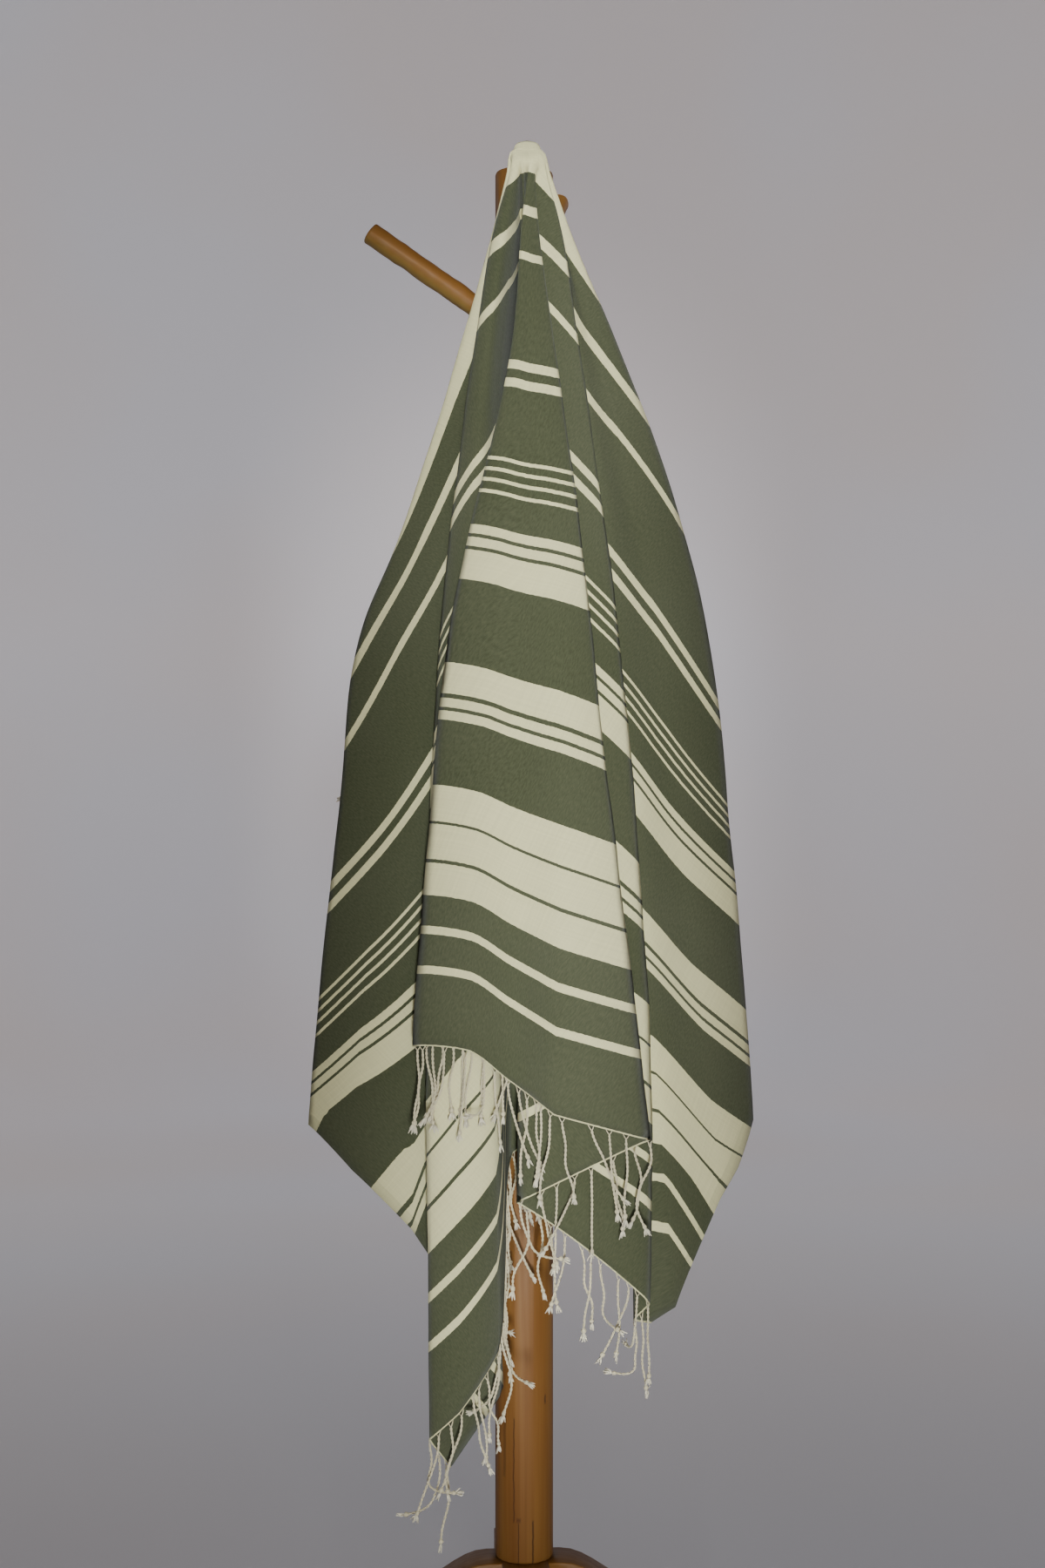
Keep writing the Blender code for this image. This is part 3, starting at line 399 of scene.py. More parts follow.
def gap(start, end):
    """The spacing of two rows of points in a curve's measure, which evens out unlike stretches."""
    return np.maximum(np.linalg.norm(end - start, axis=1, keepdims=True), 1e-5) ** GAP_POWER


def blend_four(before, here, there, after, t):
    """A rounded curve from here to there, heading in from before and on to after.

    t is the share of the curve's length, so that cloth isn't bunched where it turns.
    """
    first, mid, last = gap(before, here), gap(here, there), gap(there, after)
    slope_in, slope, slope_out = (here - before) / first, (there - here) / mid, (after - there) / last
    leave = np.where(first > GAP_LEAST, (slope_in * mid + slope * first) / (first + mid), slope)
    arrive = np.where(last > GAP_LEAST, (slope * last + slope_out * mid) / (mid + last), slope)
    steps = np.linspace(0.0, 1.0, EVEN_STEPS + 1)
    route = np.array([hermite(here, there, leave * mid, arrive * mid, k) for k in steps])
    run = np.cumsum(np.linalg.norm(np.diff(route, axis=0), axis=2), axis=0)
    run = np.vstack([np.zeros_like(run[:1]), run])
    target = t[:, 0] * run[-1]
    low = np.clip((run <= target).sum(axis=0) - 1, 0, EVEN_STEPS - 1)
    pick = np.arange(len(low))
    span = np.maximum(run[low + 1, pick] - run[low, pick], 1e-9)
    even = (steps[low] + (target - run[low, pick]) / span / EVEN_STEPS)[:, None]
    return hermite(here, there, leave * mid, arrive * mid, even)


class HungCloth:
    """Carries a point (u, v) of the flat cloth to its place as it hangs.

    u runs to the left and v to the front, both from the point on the peg.
    """

    RADIUS_STEP = 0.004
    RADIUS_COUNT = 420

    def __init__(self):
        _, turn, height = PEGS[0]
        self.out = peg_axis(turn)
        self.up = upward(self.out)
        length = math.hypot(PEG_REACH, PEG_RISE) + CLOTH_CLEAR
        self.apex = np.array((0.0, 0.0, height)) + self.out * length
        self.middle = self.apex * np.array((0.0, 1.0, 1.0))
        self.rim = PEG_DIAMETER / 2 + CLOTH_CLEAR
        self.radii = np.arange(self.RADIUS_COUNT) * self.RADIUS_STEP
        self.lines = np.array([self.fold_line(fold) for fold in FOLDS])
        self.angles = np.array([self.fold_angles(fold[1]) for fold in FOLDS])

    @staticmethod
    def smooth_route(points, per_span=24):
        """A smooth curve through points, spaced by the lengths between them."""
        points = np.asarray(points, float)
        gaps = np.linalg.norm(np.diff(points, axis=0), axis=1)
        slopes = np.diff(points, axis=0) / gaps[:, None]
        ahead, behind = gaps[1:, None], gaps[:-1, None]
        inner = (slopes[:-1] * ahead + slopes[1:] * behind) / (ahead + behind)
        tangents = np.vstack([slopes[:1], inner, slopes[-1:]])
        t = np.linspace(0.0, 1.0, per_span, endpoint=False)[:, None]
        spans = []
        for i, gap in enumerate(gaps):
            spans.append(hermite(points[i], points[i + 1], tangents[i] * gap,
                                 tangents[i + 1] * gap, t))
        return np.vstack(spans + [points[-1:]])

    def by_length(self, route, slack=0.0):
        """Points of a route at the radii less their slack, going straight on past its end."""
        steps = np.linalg.norm(np.diff(route, axis=0), axis=1)
        run = np.concatenate([[0.0], np.cumsum(steps)])
        end = (route[-1] - route[-4]) / np.linalg.norm(route[-1] - route[-4])
        route = np.vstack([route, route[-1] + end])
        run = np.append(run, run[-1] + 1.0)
        taut = self.radii - slack * self.radii ** 2
        return between(taut, run, route)

    def fold_line(self, fold):
        _, angles, slack, across, back = fold
        turn = math.radians(angles[0])
        side = np.array((-1.0, 0.0, 0.0))
        rim = self.apex + self.rim * (math.sin(turn) * side - math.cos(turn) * self.up)
        stations = [self.middle + np.array((x, y, -drop))
                    for x, y, drop in zip(across, back, DROPS)]
        neck = rim + (stations[0] - rim) * NECK_SHARE
        return self.by_length(self.smooth_route([self.apex, rim, neck] + stations), slack)

    def fold_angles(self, angles):
        """The angle of a fold in the flat cloth, a smooth curve through its values."""
        values = np.array(angles)
        slopes = np.gradient(values)
        place = np.minimum(self.radii / ANGLE_STEP, len(values) - 1.001)
        low = place.astype(int)
        return hermite(values[low], values[low + 1], slopes[low], slopes[low + 1], place - low)

    def at_radius(self, table, row, radius):
        """Values of one row of a table at given radii."""
        place = np.clip(radius / self.RADIUS_STEP, 0, self.RADIUS_COUNT - 1.001)
        low = place.astype(int)
        part = place - low
        if table.ndim == 3:
            part = part[:, None]
        return table[row, low] * (1 - part) + table[row, low + 1] * part

    def front(self, fold, part, radius):
        """The place between a fold and the next one, at a distance from the peg."""
        last = len(FOLDS) - 1
        index = [np.clip(fold + k, 0, last) for k in (-1, 0, 1, 2)]
        before, here, there, after = [self.at_radius(self.lines, i, radius) for i in index]
        return blend_four(before, here, there, after, part[:, None])

    def front_place(self, u, v):
        """The place of flat points with v at or past the centre line."""
        radius = np.hypot(u, v)
        angle = np.degrees(np.arctan2(u, np.maximum(v, 0.0)))
        rows = np.array([self.at_radius(self.angles, np.full(len(u), i), radius)
                         for i in range(len(FOLDS))])
        fold = np.clip((rows >= angle).sum(axis=0) - 1, 0, len(FOLDS) - 2)
        pick = np.arange(len(u))
        start, end = rows[fold, pick], rows[fold + 1, pick]
        part = np.clip((start - angle) / np.maximum(start - end, 1e-6), 0.0, 1.0)
        return self.front(fold, part, radius)

    def back_line(self, side, v):
        """The upright line of the back half at a distance v behind the centre line."""
        share = max(-v - self.rim, 0.0) / (CLOTH_HALF - self.rim)
        fold = FOLDS[0] if side > 0 else FOLDS[-1]
        wave = share * BACK_PLEATS
        inward = 1.0 - abs(2.0 * (wave - math.floor(wave)) - 1.0)
        if share >= 1.0:
            inward = -2.0 * BACK_PLEATS * (share - 1.0)
        shaft = self.apex - self.out * (GATHER_REACH * share)
        raised = min(-v / self.rim, 1.0)
        top = shaft + self.up * self.rim * raised
        outward = np.array((-side * self.rim, 0.0, 0.0))
        shoulder = shaft + (top - shaft + outward) * math.sqrt(0.5)
        side_point = shaft + outward - self.out * (GATHER_LAG * raised)
        stations = []
        for k, drop in enumerate(DROPS):
            outer = fold[3][k]
            inner = -side * BACK_INNER[k]
            first = fold[4][k] + BACK_TURN * raised * min(drop / DROPS[1], 1.0)
            back = first + (BACK_LAST[k] - first) * share
            across = outer + (inner - outer) * inward
            sunk = (self.apex[2] - shaft[2]) * max(0.0, 1.0 - drop / DROPS[-1])
            stations.append(self.middle + np.array((across, back, -drop - sunk)))
        neck = side_point + (stations[0] - side_point) * NECK_SHARE
        return self.by_length(self.smooth_route([top, shoulder, side_point, neck] + stations))

    def place(self, u, v):
        """The places of flat points, anywhere on the cloth."""
        u, v = np.broadcast_arrays(np.asarray(u, float), np.asarray(v, float))
        shape = u.shape
        u, v = u.ravel(), v.ravel()
        out = np.zeros((len(u), 3))
        ahead = v >= 0.0
        if ahead.any():
            out[ahead] = self.front_place(u[ahead], v[ahead])
        for side in (1.0, -1.0):
            mine = ~ahead & ((u >= 0.0) if side > 0 else (u < 0.0))
            for value in np.unique(v[mine]):
                row = mine & (v == value)
                line = self.back_line(side, value)[None]
                out[row] = self.at_radius(line, np.zeros(row.sum(), int), np.abs(u[row]))
        return out.reshape(shape + (3,))


# ---- the cloth's mesh ---------------------------------------------------
def reach(side, angle):
    """The flat distance from the peg to the cloth's edge, at an angle from the front."""
    turn = np.radians(np.abs(angle))
    width = CLOTH_LEFT if side > 0 else CLOTH_RIGHT
    to_end = CLOTH_HALF / np.maximum(np.cos(turn), 1e-6)
    to_side = width / np.maximum(np.sin(turn), 1e-6)
    return np.minimum(to_end, to_side)


def corner_column(cloth, side):
    """The fold and the part of its stretch at which a front corner of the cloth lies."""
    width = CLOTH_LEFT if side > 0 else CLOTH_RIGHT
    angle = side * math.degrees(math.atan2(width, CLOTH_HALF))
    radius = np.full(len(FOLDS), math.hypot(width, CLOTH_HALF))
    around = cloth.at_radius(cloth.angles, np.arange(len(FOLDS)), radius)
    fold = int((around >= angle).sum()) - 1
    return fold, float((around[fold] - angle) / (around[fold] - around[fold + 1]))


def row_shares(cell):
    """Shares of a column's length, close together over the end of the peg."""
    last = NEAR_ROWS[-1]
    count = int((1.0 - last) / cell)
    return np.array(NEAR_ROWS + tuple(last + (1.0 - last) * k / count for k in range(1, count + 1)))


def front_columns(cloth, cell, rows):
    """Columns of the front half, which fan out from the peg, and go through its two corners."""
    stops = [(len(FOLDS) - 2, 1.0), corner_column(cloth, 1.0), corner_column(cloth, -1.0)]
    for fold in range(len(FOLDS) - 1):
        sweep = FOLDS[fold][1][-1] - FOLDS[fold + 1][1][-1]
        wide = math.radians(sweep) * CORNER_REACH * CLOTH_HALF
        count = max(int(math.ceil(wide / cell)), FEWEST_COLUMNS)
        stops += [(fold, k / count) for k in range(count)]
    columns = []
    for fold, part in sorted(stops):
        radius = rows * CLOTH_HALF
        for _ in range(ROW_ROUNDS):
            start = cloth.at_radius(cloth.angles, np.full(len(rows), fold), radius)
            end = cloth.at_radius(cloth.angles, np.full(len(rows), fold + 1), radius)
            angle = start + (end - start) * part
            side = 1.0 if angle[-1] > 0 else -1.0
            radius = rows * reach(side, angle)
        turn = np.radians(angle)
        columns.append(np.stack([radius * np.sin(turn), radius * np.cos(turn)], axis=1))
    return columns


def back_columns(cloth, cell, rows, width):
    """Columns of one side of the back half, each straight across the cloth."""
    in_half_pleat = int(round(CLOTH_HALF / BACK_PLEATS / 2 / cell / BACK_CELLS))
    count = 2 * BACK_PLEATS * max(in_half_pleat, FEWEST_IN_PLEAT)
    behind = [-cloth.rim * k / RIM_COLUMNS for k in range(1, RIM_COLUMNS + 1)]
    behind += [-cloth.rim - (CLOTH_HALF - cloth.rim) * k / count for k in range(1, count + 1)]
    return [np.stack([rows * width, np.full(len(rows), v)], axis=1) for v in behind]


def flat_columns(cloth, cell):
    """Flat points of the whole cloth: columns of rows, from the back round the front to the back."""
    rows = row_shares(cell)
    left = back_columns(cloth, cell, rows, CLOTH_LEFT)
    right = back_columns(cloth, cell, rows, -CLOTH_RIGHT)
    flat = np.array(left[::-1] + front_columns(cloth, cell, rows) + right)
    flat[:, :, 1] = np.where(np.abs(flat[:, :, 1]) < 1e-9, 0.0, flat[:, :, 1])
    return flat


def rumpled(places, flat, height):
    """Adds the soft, uneven waves of limp cloth between the folds, along the normals."""
    across = np.gradient(places, axis=0)
    down = np.gradient(places, axis=1)
    normals = units(np.cross(across, down))
    lift = np.zeros(flat.shape[:2])
    for c in range(flat.shape[0]):
        for r in range(flat.shape[1]):
            u, v = flat[c, r]
            radius = math.hypot(u, v)
            fade = min(radius / RUMPLE_FULL, 1.0) ** 1.5
            if v >= 0.0:
                around = math.degrees(math.atan2(u, v)) / RUMPLE_TURN
                long_wave = noise.noise(Vector((around, radius * 2.0, 3.1)))
            else:
                long_wave = noise.noise(Vector((v * 14.0, u * 1.5, 8.7)))
            patch = noise.noise(Vector((u * 11.0, v * 11.0, 0.0)))
            lift[c, r] = fade * height * (0.8 * long_wave + 0.6 * patch)
    return places + normals * lift[:, :, None]


def hung_sheet(sizes):
    """The flat points and hung places of the towel's mesh."""
    cloth = HungCloth()
    flat = flat_columns(cloth, sizes.cell)
    places = cloth.place(flat[:, :, 0], flat[:, :, 1])
    return flat, rumpled(places, flat, sizes.rumple)


def sheet_mesh(name, flat, places, hem_width):
    """An open sheet of quads whose map holds the flat places, and its selvedges' weights."""
    bm = bmesh.new()
    layer = bm.loops.layers.uv.new("flat")
    columns, rows = flat.shape[:2]
    verts = [[bm.verts.new(p) for p in column] for column in places]
    weights = []
    for c in range(columns):
        for r in range(rows):
            u = flat[c, r, 0]
            inside = (CLOTH_LEFT - u) if u > 0 else (CLOTH_RIGHT + u)
            weights.append(1.0 if inside < hem_width * 0.9 else 0.5)
    for c in range(columns - 1):
        for r in range(rows - 1):
            corners = ((c, r), (c, r + 1), (c + 1, r + 1), (c + 1, r))
            face = bm.faces.new([verts[i][j] for i, j in corners])
            for loop, (i, j) in zip(face.loops, corners):
                loop[layer].uv = flat[i, j]
    deform = bm.verts.layers.deform.verify()
    for vert, weight in zip(bm.verts, weights):
        vert[deform][0] = weight
    bmesh.ops.remove_doubles(bm, verts=bm.verts, dist=0.00004)
    bmesh.ops.recalc_face_normals(bm, faces=bm.faces)
    mesh = bpy.data.meshes.new(name)
    bm.to_mesh(mesh)
    bm.free()
    return mesh


# ---- fringe -------------------------------------------------------------
def end_edge(flat, places, end):
    """The points of one fringed end of the sheet, with the way the warp leaves it."""
    if end > 0:
        on_end = flat[:, -1, 1] > CLOTH_HALF - 1e-5
        u, tips, before = flat[on_end, -1, 0], places[on_end, -1], places[on_end, -2]
    else:
        u = np.concatenate([flat[0, ::-1, 0], flat[-1, 1:, 0]])
        tips = np.vstack([places[0][::-1], places[-1][1:]])
        before = np.vstack([places[1][::-1], places[-2][1:]])
    return u, tips, units(tips - before)


def cord_route(root, outward, length, rng):
    """The middle line of a cord: out of the weave, down, and away in its own curl."""
    lean = np.array([rng.gauss(0.0, spread) for spread in CORD_LEAN] + [0.0])
    swing = rng.uniform(0.0, 2 * math.pi)
    wave = rng.uniform(*CORD_WAVE)
    turns = rng.uniform(*CORD_TURNS)
    hook = rng.uniform(*HOOK_CURL) if rng.random() < HOOK_SHARE else 0.0
    side = np.array((math.cos(swing), math.sin(swing), 0.0))
    route = [root]
    for k in range(CORD_STEPS):
        s = (k + 0.5) / CORD_STEPS
        way = np.array((0.0, 0.0, -1.0)) + outward * CORD_LEAVE * (1.0 - s) ** 3
        way = way + lean * min(s * 3.0, 1.0)
        way = way + side * wave * math.sin(2 * math.pi * turns * s + swing)
        if hook and s > HOOK_START:
            curl = 2.0 * hook * (s - HOOK_START)
            way = way + side * curl / (1.0 - HOOK_START) + np.array((0.0, 0.0, curl))
        route.append(route[-1] + unit(way) * length / CORD_STEPS)
    return np.array(route)


def clear_route(root, outward, length, rng, surface):
    """The freest of several routes that a cord might take past the cloth."""
    best_gap, best = -1.0, None
    for _ in range(CORD_TRIES):
        route = cord_route(root, outward, length * rng.uniform(*CORD_SHARES), rng)
        gap = min(surface.find_nearest(Vector(p))[3] for p in route[CORD_STEPS // 6::3])
        if gap > best_gap:
            best_gap, best = gap, route
        if gap > CORD_FREE:
            break
    return best


def route_frames(route):
    """Two directions square to a route at each of its points, without twist."""
    along = units(np.gradient(route, axis=0))
    side = np.cross(along[0], (0.3, 1.0, 0.1))
    first = []
    for way in along:
        side = unit(side - way * np.dot(side, way))
        first.append(side)
    first = np.array(first)
    return first, np.cross(along, first)


def tube_rings(middle, first, second, radii, sides):
    turn = np.arange(sides) * 2 * math.pi / sides
    ring = np.cos(turn)[None, :, None] * first[:, None] + np.sin(turn)[None, :, None] * second[:, None]
    return middle[:, None] + ring * np.asarray(radii)[:, None, None]


def add_tube(bm, layer, rings, slot, lengths):
    """Skins a tube over rings of points and closes its two ends."""
    sides = rings.shape[1]
    verts = [[bm.verts.new(p) for p in ring] for ring in rings]
    for k in range(len(verts) - 1):
        for a in range(sides):
            b = (a + 1) % sides
            face = bm.faces.new((verts[k][a], verts[k][b], verts[k + 1][b], verts[k + 1][a]))
            face.smooth = True
            face.material_index = slot
            for loop, (i, j) in zip(face.loops, ((k, a), (k, a + 1), (k + 1, a + 1), (k + 1, a))):
                loop[layer].uv = (lengths[i], j / sides)
    for ring, end in ((reversed(verts[0]), 0), (verts[-1], -1)):
        face = bm.faces.new(list(ring))
        face.material_index = slot
        for loop in face.loops:
            loop[layer].uv = (lengths[end], 0.5)


def add_cord(bm, layer, route, along_hem, looks, rng):
    """Two plies laid round each other, an overhand knot and the loose yarns below it."""
    run = np.concatenate([[0.0], np.cumsum(np.linalg.norm(np.diff(route, axis=0), axis=1))])
    fine = np.linspace(0.0, run[-1], int(run[-1] / looks.lay * RINGS_IN_LAY) + 1)
    middle = between(fine, run, route)
    first, second = [units(between(fine, run, ways)) for ways in route_frames(route)]
    phase = rng.uniform(0.0, 2 * math.pi)
    parted = np.clip(1.0 - fine / ROOT_LENGTH, 0.0, 1.0)[:, None]
    for ply in (0, 1):
        turn = fine / looks.lay * 2 * math.pi + phase + ply * math.pi
        offset = np.cos(turn)[:, None] * first + np.sin(turn)[:, None] * second
        apart = along_hem * (1 if ply else -1) * ROOT_APART
        ply_line = middle + offset * looks.ply * PLY_OFFSET * (1 - parted) + apart * parted ** 1.3
        radii = looks.ply / 2 * (1.0 - ROOT_TAPER * parted[:, 0])
        add_tube(bm, layer, tube_rings(ply_line, first, second, radii, 5), 0, fine)
    way = unit(route[-1] - route[-2])
    add_knot(bm, layer, middle[-1], way, first[-1], second[-1], looks.ply, rng, run[-1])


def add_knot(bm, layer, end, way, first, second, ply, rng, at):
    """A lumpy knot at a cord's end and the cut yarns that splay out below it."""
    size = ply * rng.uniform(*KNOT_SIZES)
    middle = np.array([end + way * size * (1.0 + 1.15 * s) for s, _ in KNOT_OUTLINE])
    radii = [size * r for _, r in KNOT_OUTLINE]
    tilt = rng.uniform(0.0, 1.0)
    count = len(KNOT_OUTLINE)
    rings = tube_rings(middle, np.tile(first, (count, 1)), np.tile(second, (count, 1)), radii, KNOT_SIDES)
    for k in range(count):
        for a in range(KNOT_SIDES):
            bulge = 1.0 + KNOT_LUMPS * math.sin(2 * a * math.pi / 4 + k * 1.9 + tilt * 6.0)
            rings[k, a] = middle[k] + (rings[k, a] - middle[k]) * bulge
    add_tube(bm, layer, rings, 0, np.full(count, at))
    start = end + way * size * 1.9
    for _ in range(TUFT_YARNS):
        splay = first * rng.gauss(0.0, TUFT_SPLAY) + second * rng.gauss(0.0, TUFT_SPLAY)
        length = rng.uniform(*TUFT_LENGTHS)
        points = np.array([start, start + unit(way + splay) * length * 0.5,
                           start + unit(way + splay * 0.8) * length])
        rings = tube_rings(points, *route_frames(points), TUFT_RADII, 4)
        add_tube(bm, layer, rings, 1, np.full(len(points), at))


def has_room(end, place):
    """Whether a cord hangs free: at the back, not over the peg and not at the far left."""
    return end > 0 or (abs(place) > BACK_CORDS_FROM and place < BACK_CORDS_TO)


def fringe_mesh(name, flat, places, end, surface, looks):
    """All the cords of one end as one mesh."""
    rng = random.Random(looks.seed + end)
    u, tips, outward = end_edge(flat, places, end)
    order = np.argsort(-u)
    stops, tips, outward = -u[order], tips[order], outward[order]
    pitch = (CLOTH_LEFT + CLOTH_RIGHT) / looks.cords
    bm = bmesh.new()
    layer = bm.loops.layers.uv.new("along")
    for k in range(looks.cords):
        place = CLOTH_LEFT - pitch * (k + 0.5 + rng.uniform(-CORD_STRAY, CORD_STRAY))
        if not has_room(end, place):
            continue
        root, way = between(-place, stops, tips), unit(between(-place, stops, outward))
        beside = between(-place - 0.01, stops, tips)
        route = clear_route(root, way, looks.length, rng, surface)
        add_cord(bm, layer, route, unit(root - beside), looks, rng)
    bmesh.ops.recalc_face_normals(bm, faces=bm.faces)
    mesh = bpy.data.meshes.new(name)
    bm.to_mesh(mesh)
    bm.free()
    return mesh


# ---- wood pieces --------------------------------------------------------
def smooth_copy(node, name, mat):
    """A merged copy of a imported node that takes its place, shaded smooth but for its edges."""
    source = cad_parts[node]
    mesh = source.data.copy()
    mesh.transform(source.matrix_world)
    mesh.materials.clear()
    piece = new_piece(name, mesh, mat)
    select_only(piece)
    bpy.ops.object.mode_set(mode="EDIT")
    bpy.ops.mesh.select_all(action="SELECT")
    bpy.ops.mesh.remove_doubles(threshold=0.00002)
    bpy.ops.mesh.normals_make_consistent(inside=False)
    bpy.ops.object.mode_set(mode="OBJECT")
    bpy.ops.object.shade_smooth_by_angle(angle=math.radians(36.0))
    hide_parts(node)
    return piece


def hew(peg, height):
    """Rounds a peg's edges and lends its surface slight, slow dents."""
    fine = peg.modifiers.new("fine", "REMESH")
    fine.mode = "VOXEL"
    fine.voxel_size = HEW_CELL
    dents = bpy.data.textures.new("dents", "CLOUDS")
    dents.noise_scale = DENT_LENGTH
    dents.noise_depth = 1
    uneven = peg.modifiers.new("dents", "DISPLACE")
    uneven.texture = dents
    uneven.texture_coords = "LOCAL"
    uneven.strength = height
    uneven.mid_level = 0.5
    soft = peg.modifiers.new("soft", "SMOOTH")
    soft.factor = 0.5
    soft.iterations = 4
    apply_modifiers(peg)
    peg.data.shade_smooth()


# ---- node building ------------------------------------------------------
class Graph:
    """Short calls that add nodes to a material's or a group's tree and link them."""

    def __init__(self, tree):
        self.tree = tree

    def link(self, source, target):
        self.tree.links.new(source, target)

    def node(self, kind, inputs=None, **values):
        """A new node with its own values set, and its inputs linked or set by name or number."""
        made = self.tree.nodes.new(kind)
        for key, value in values.items():
            setattr(made, key, value)
        for key, value in (inputs or {}).items():
            if hasattr(value, "is_output"):
                self.link(value, made.inputs[key])
            else:
                made.inputs[key].default_value = value
        return made

    def use(self, group, inputs):
        """The outputs of a group that is placed with the given inputs."""
        return self.node("ShaderNodeGroup", inputs, node_tree=group).outputs

    def math(self, operation, *values):
        return self.node("ShaderNodeMath", dict(enumerate(values)), operation=operation).outputs[0]

    def plus(self, first, second):
        return self.math("ADD", first, second)

    def minus(self, first, second):
        return self.math("SUBTRACT", first, second)

    def times(self, first, second):
        return self.math("MULTIPLY", first, second)

    def least(self, first, second):
        return self.math("MINIMUM", first, second)

    def vector_math(self, operation, *values):
        return self.node("ShaderNodeVectorMath", dict(enumerate(values)), operation=operation).outputs

    def split(self, vector):
        """The X, Y and Z of a vector."""
        return self.node("ShaderNodeSeparateXYZ", {0: vector}).outputs

    def object_place(self):
        return self.node("ShaderNodeTexCoord").outputs["Object"]

    def mix(self, factor, first, second):
        """The first colour where the factor is 0, the second where it is 1."""
        first, second = [c if hasattr(c, "is_output") else (*c, 1.0) for c in (first, second)]
        made = self.node("ShaderNodeMix", {"Factor": factor, 6: first, 7: second}, data_type="RGBA")
        return made.outputs[2]

    def noise(self, vector, scale, detail=2.0, roughness=0.5):
        return self.node("ShaderNodeTexNoise", {"Vector": vector, "Scale": scale, "Detail": detail,
                                                "Roughness": roughness}).outputs["Fac"]

    def stretch(self, vector, scale, turn=(0.0, 0.0, 0.0), place=(0.0, 0.0, 0.0)):
        return self.node("ShaderNodeMapping", {"Vector": vector, "Scale": scale, "Rotation": turn,
                                               "Location": place}).outputs["Vector"]

    def streaks(self, vector, scale, detail=2.0, roughness=0.5):
        """Noise with a scale of its own on each axis."""
        return self.noise(self.stretch(vector, scale), 1.0, detail, roughness)

    def ramp(self, value, low, high, start=0.0, end=1.0):
        """From start, where the value is low, straight to end, where it is high."""
        return self.node("ShaderNodeMapRange", {"Value": value, "From Min": low, "From Max": high,
                                                "To Min": start, "To Max": end}).outputs["Result"]

    def bump(self, height, strength, distance, normal=None):
        inputs = {"Strength": strength, "Distance": distance, "Height": height}
        if normal is not None:
            inputs["Normal"] = normal
        return self.node("ShaderNodeBump", inputs).outputs["Normal"]


def new_group(name, inputs, outputs):
    """A shader group with named sockets: the group, its graph, what comes in and what goes out."""
    group = bpy.data.node_groups.new(name, "ShaderNodeTree")
    for socket_name, kind, *default in inputs:
        socket = group.interface.new_socket(socket_name, in_out="INPUT", socket_type="NodeSocket" + kind)
        if default:
            socket.default_value = default[0]
    for socket_name, kind in outputs:
        group.interface.new_socket(socket_name, in_out="OUTPUT", socket_type="NodeSocket" + kind)
    graph = Graph(group)
    return group, graph, graph.node("NodeGroupInput").outputs, graph.node("NodeGroupOutput").inputs


def stripes_group():
    """1 where the weft is cream, from the distance to the cloth's centre line."""
    group, graph, given, result = new_group("Hammam stripes", (("Distance", "Float"),),
                                            (("Cream", "Float"),))
    total = 0.0
    for _, start, end in STRIPES:
        inside = graph.math("COMPARE", given["Distance"], (start + end) / 2, (end - start) / 2)
        total = graph.plus(total, inside)
    graph.link(graph.least(total, 1.0), result["Cream"])
    return group


def weave_group():
    """Yarns of a plain weave: how high they stand, flecks of warp and uneven yarns."""
    group, graph, given, result = new_group(
        "Plain weave", (("Flat", "Vector"), ("Pitch", "Float", 0.0012)),
        (("Height", "Float"), ("Fleck", "Float"), ("Slub", "Float")))
    flat = given["Flat"]
    across, along, _ = graph.split(flat)
    turns = graph.math("DIVIDE", 2 * math.pi, given["Pitch"])
    waves = [graph.math("SINE", graph.times(part, turns)) for part in (across, along)]
    graph.link(graph.times(*waves), result["Height"])
    warp = graph.streaks(flat, (620.0, 170.0, 1.0), 3.0, 0.6)
    graph.link(graph.ramp(warp, 0.34, 0.70), result["Fleck"])
    slubs = graph.plus(graph.streaks(flat, (9.0, 420.0, 1.0)), graph.streaks(flat, (420.0, 9.0, 1.0)))
    graph.link(graph.times(slubs, 0.5), result["Slub"])
    return group


def grain_group():
    """Wood grain that runs along Z: slow changes of tone, soft streaks and faint pores."""
    group, graph, given, result = new_group(
        "Wood grain", (("Along Z", "Vector"), ("Light", "Color"), ("Dark", "Color")),
        (("Color", "Color"), ("Height", "Float"), ("Gloss", "Float")))
    place = given["Along Z"]
    slow = graph.streaks(place, (26.0, 26.0, 2.6))
    streak = graph.streaks(place, (190.0, 190.0, 4.0), 3.0, 0.55)
    pores = graph.ramp(graph.streaks(place, (900.0, 900.0, 26.0), 1.0), 0.62, 0.74)
    tone = graph.ramp(graph.plus(graph.times(slow, 0.62), graph.times(streak, 0.38)), 0.36, 0.66)
    colour = graph.mix(tone, given["Light"], given["Dark"])
    graph.link(graph.mix(graph.times(pores, 0.25), colour, given["Dark"]), result["Color"])
    graph.link(graph.minus(graph.times(streak, 0.5), pores), result["Height"])
    graph.link(tone, result["Gloss"])
    return group


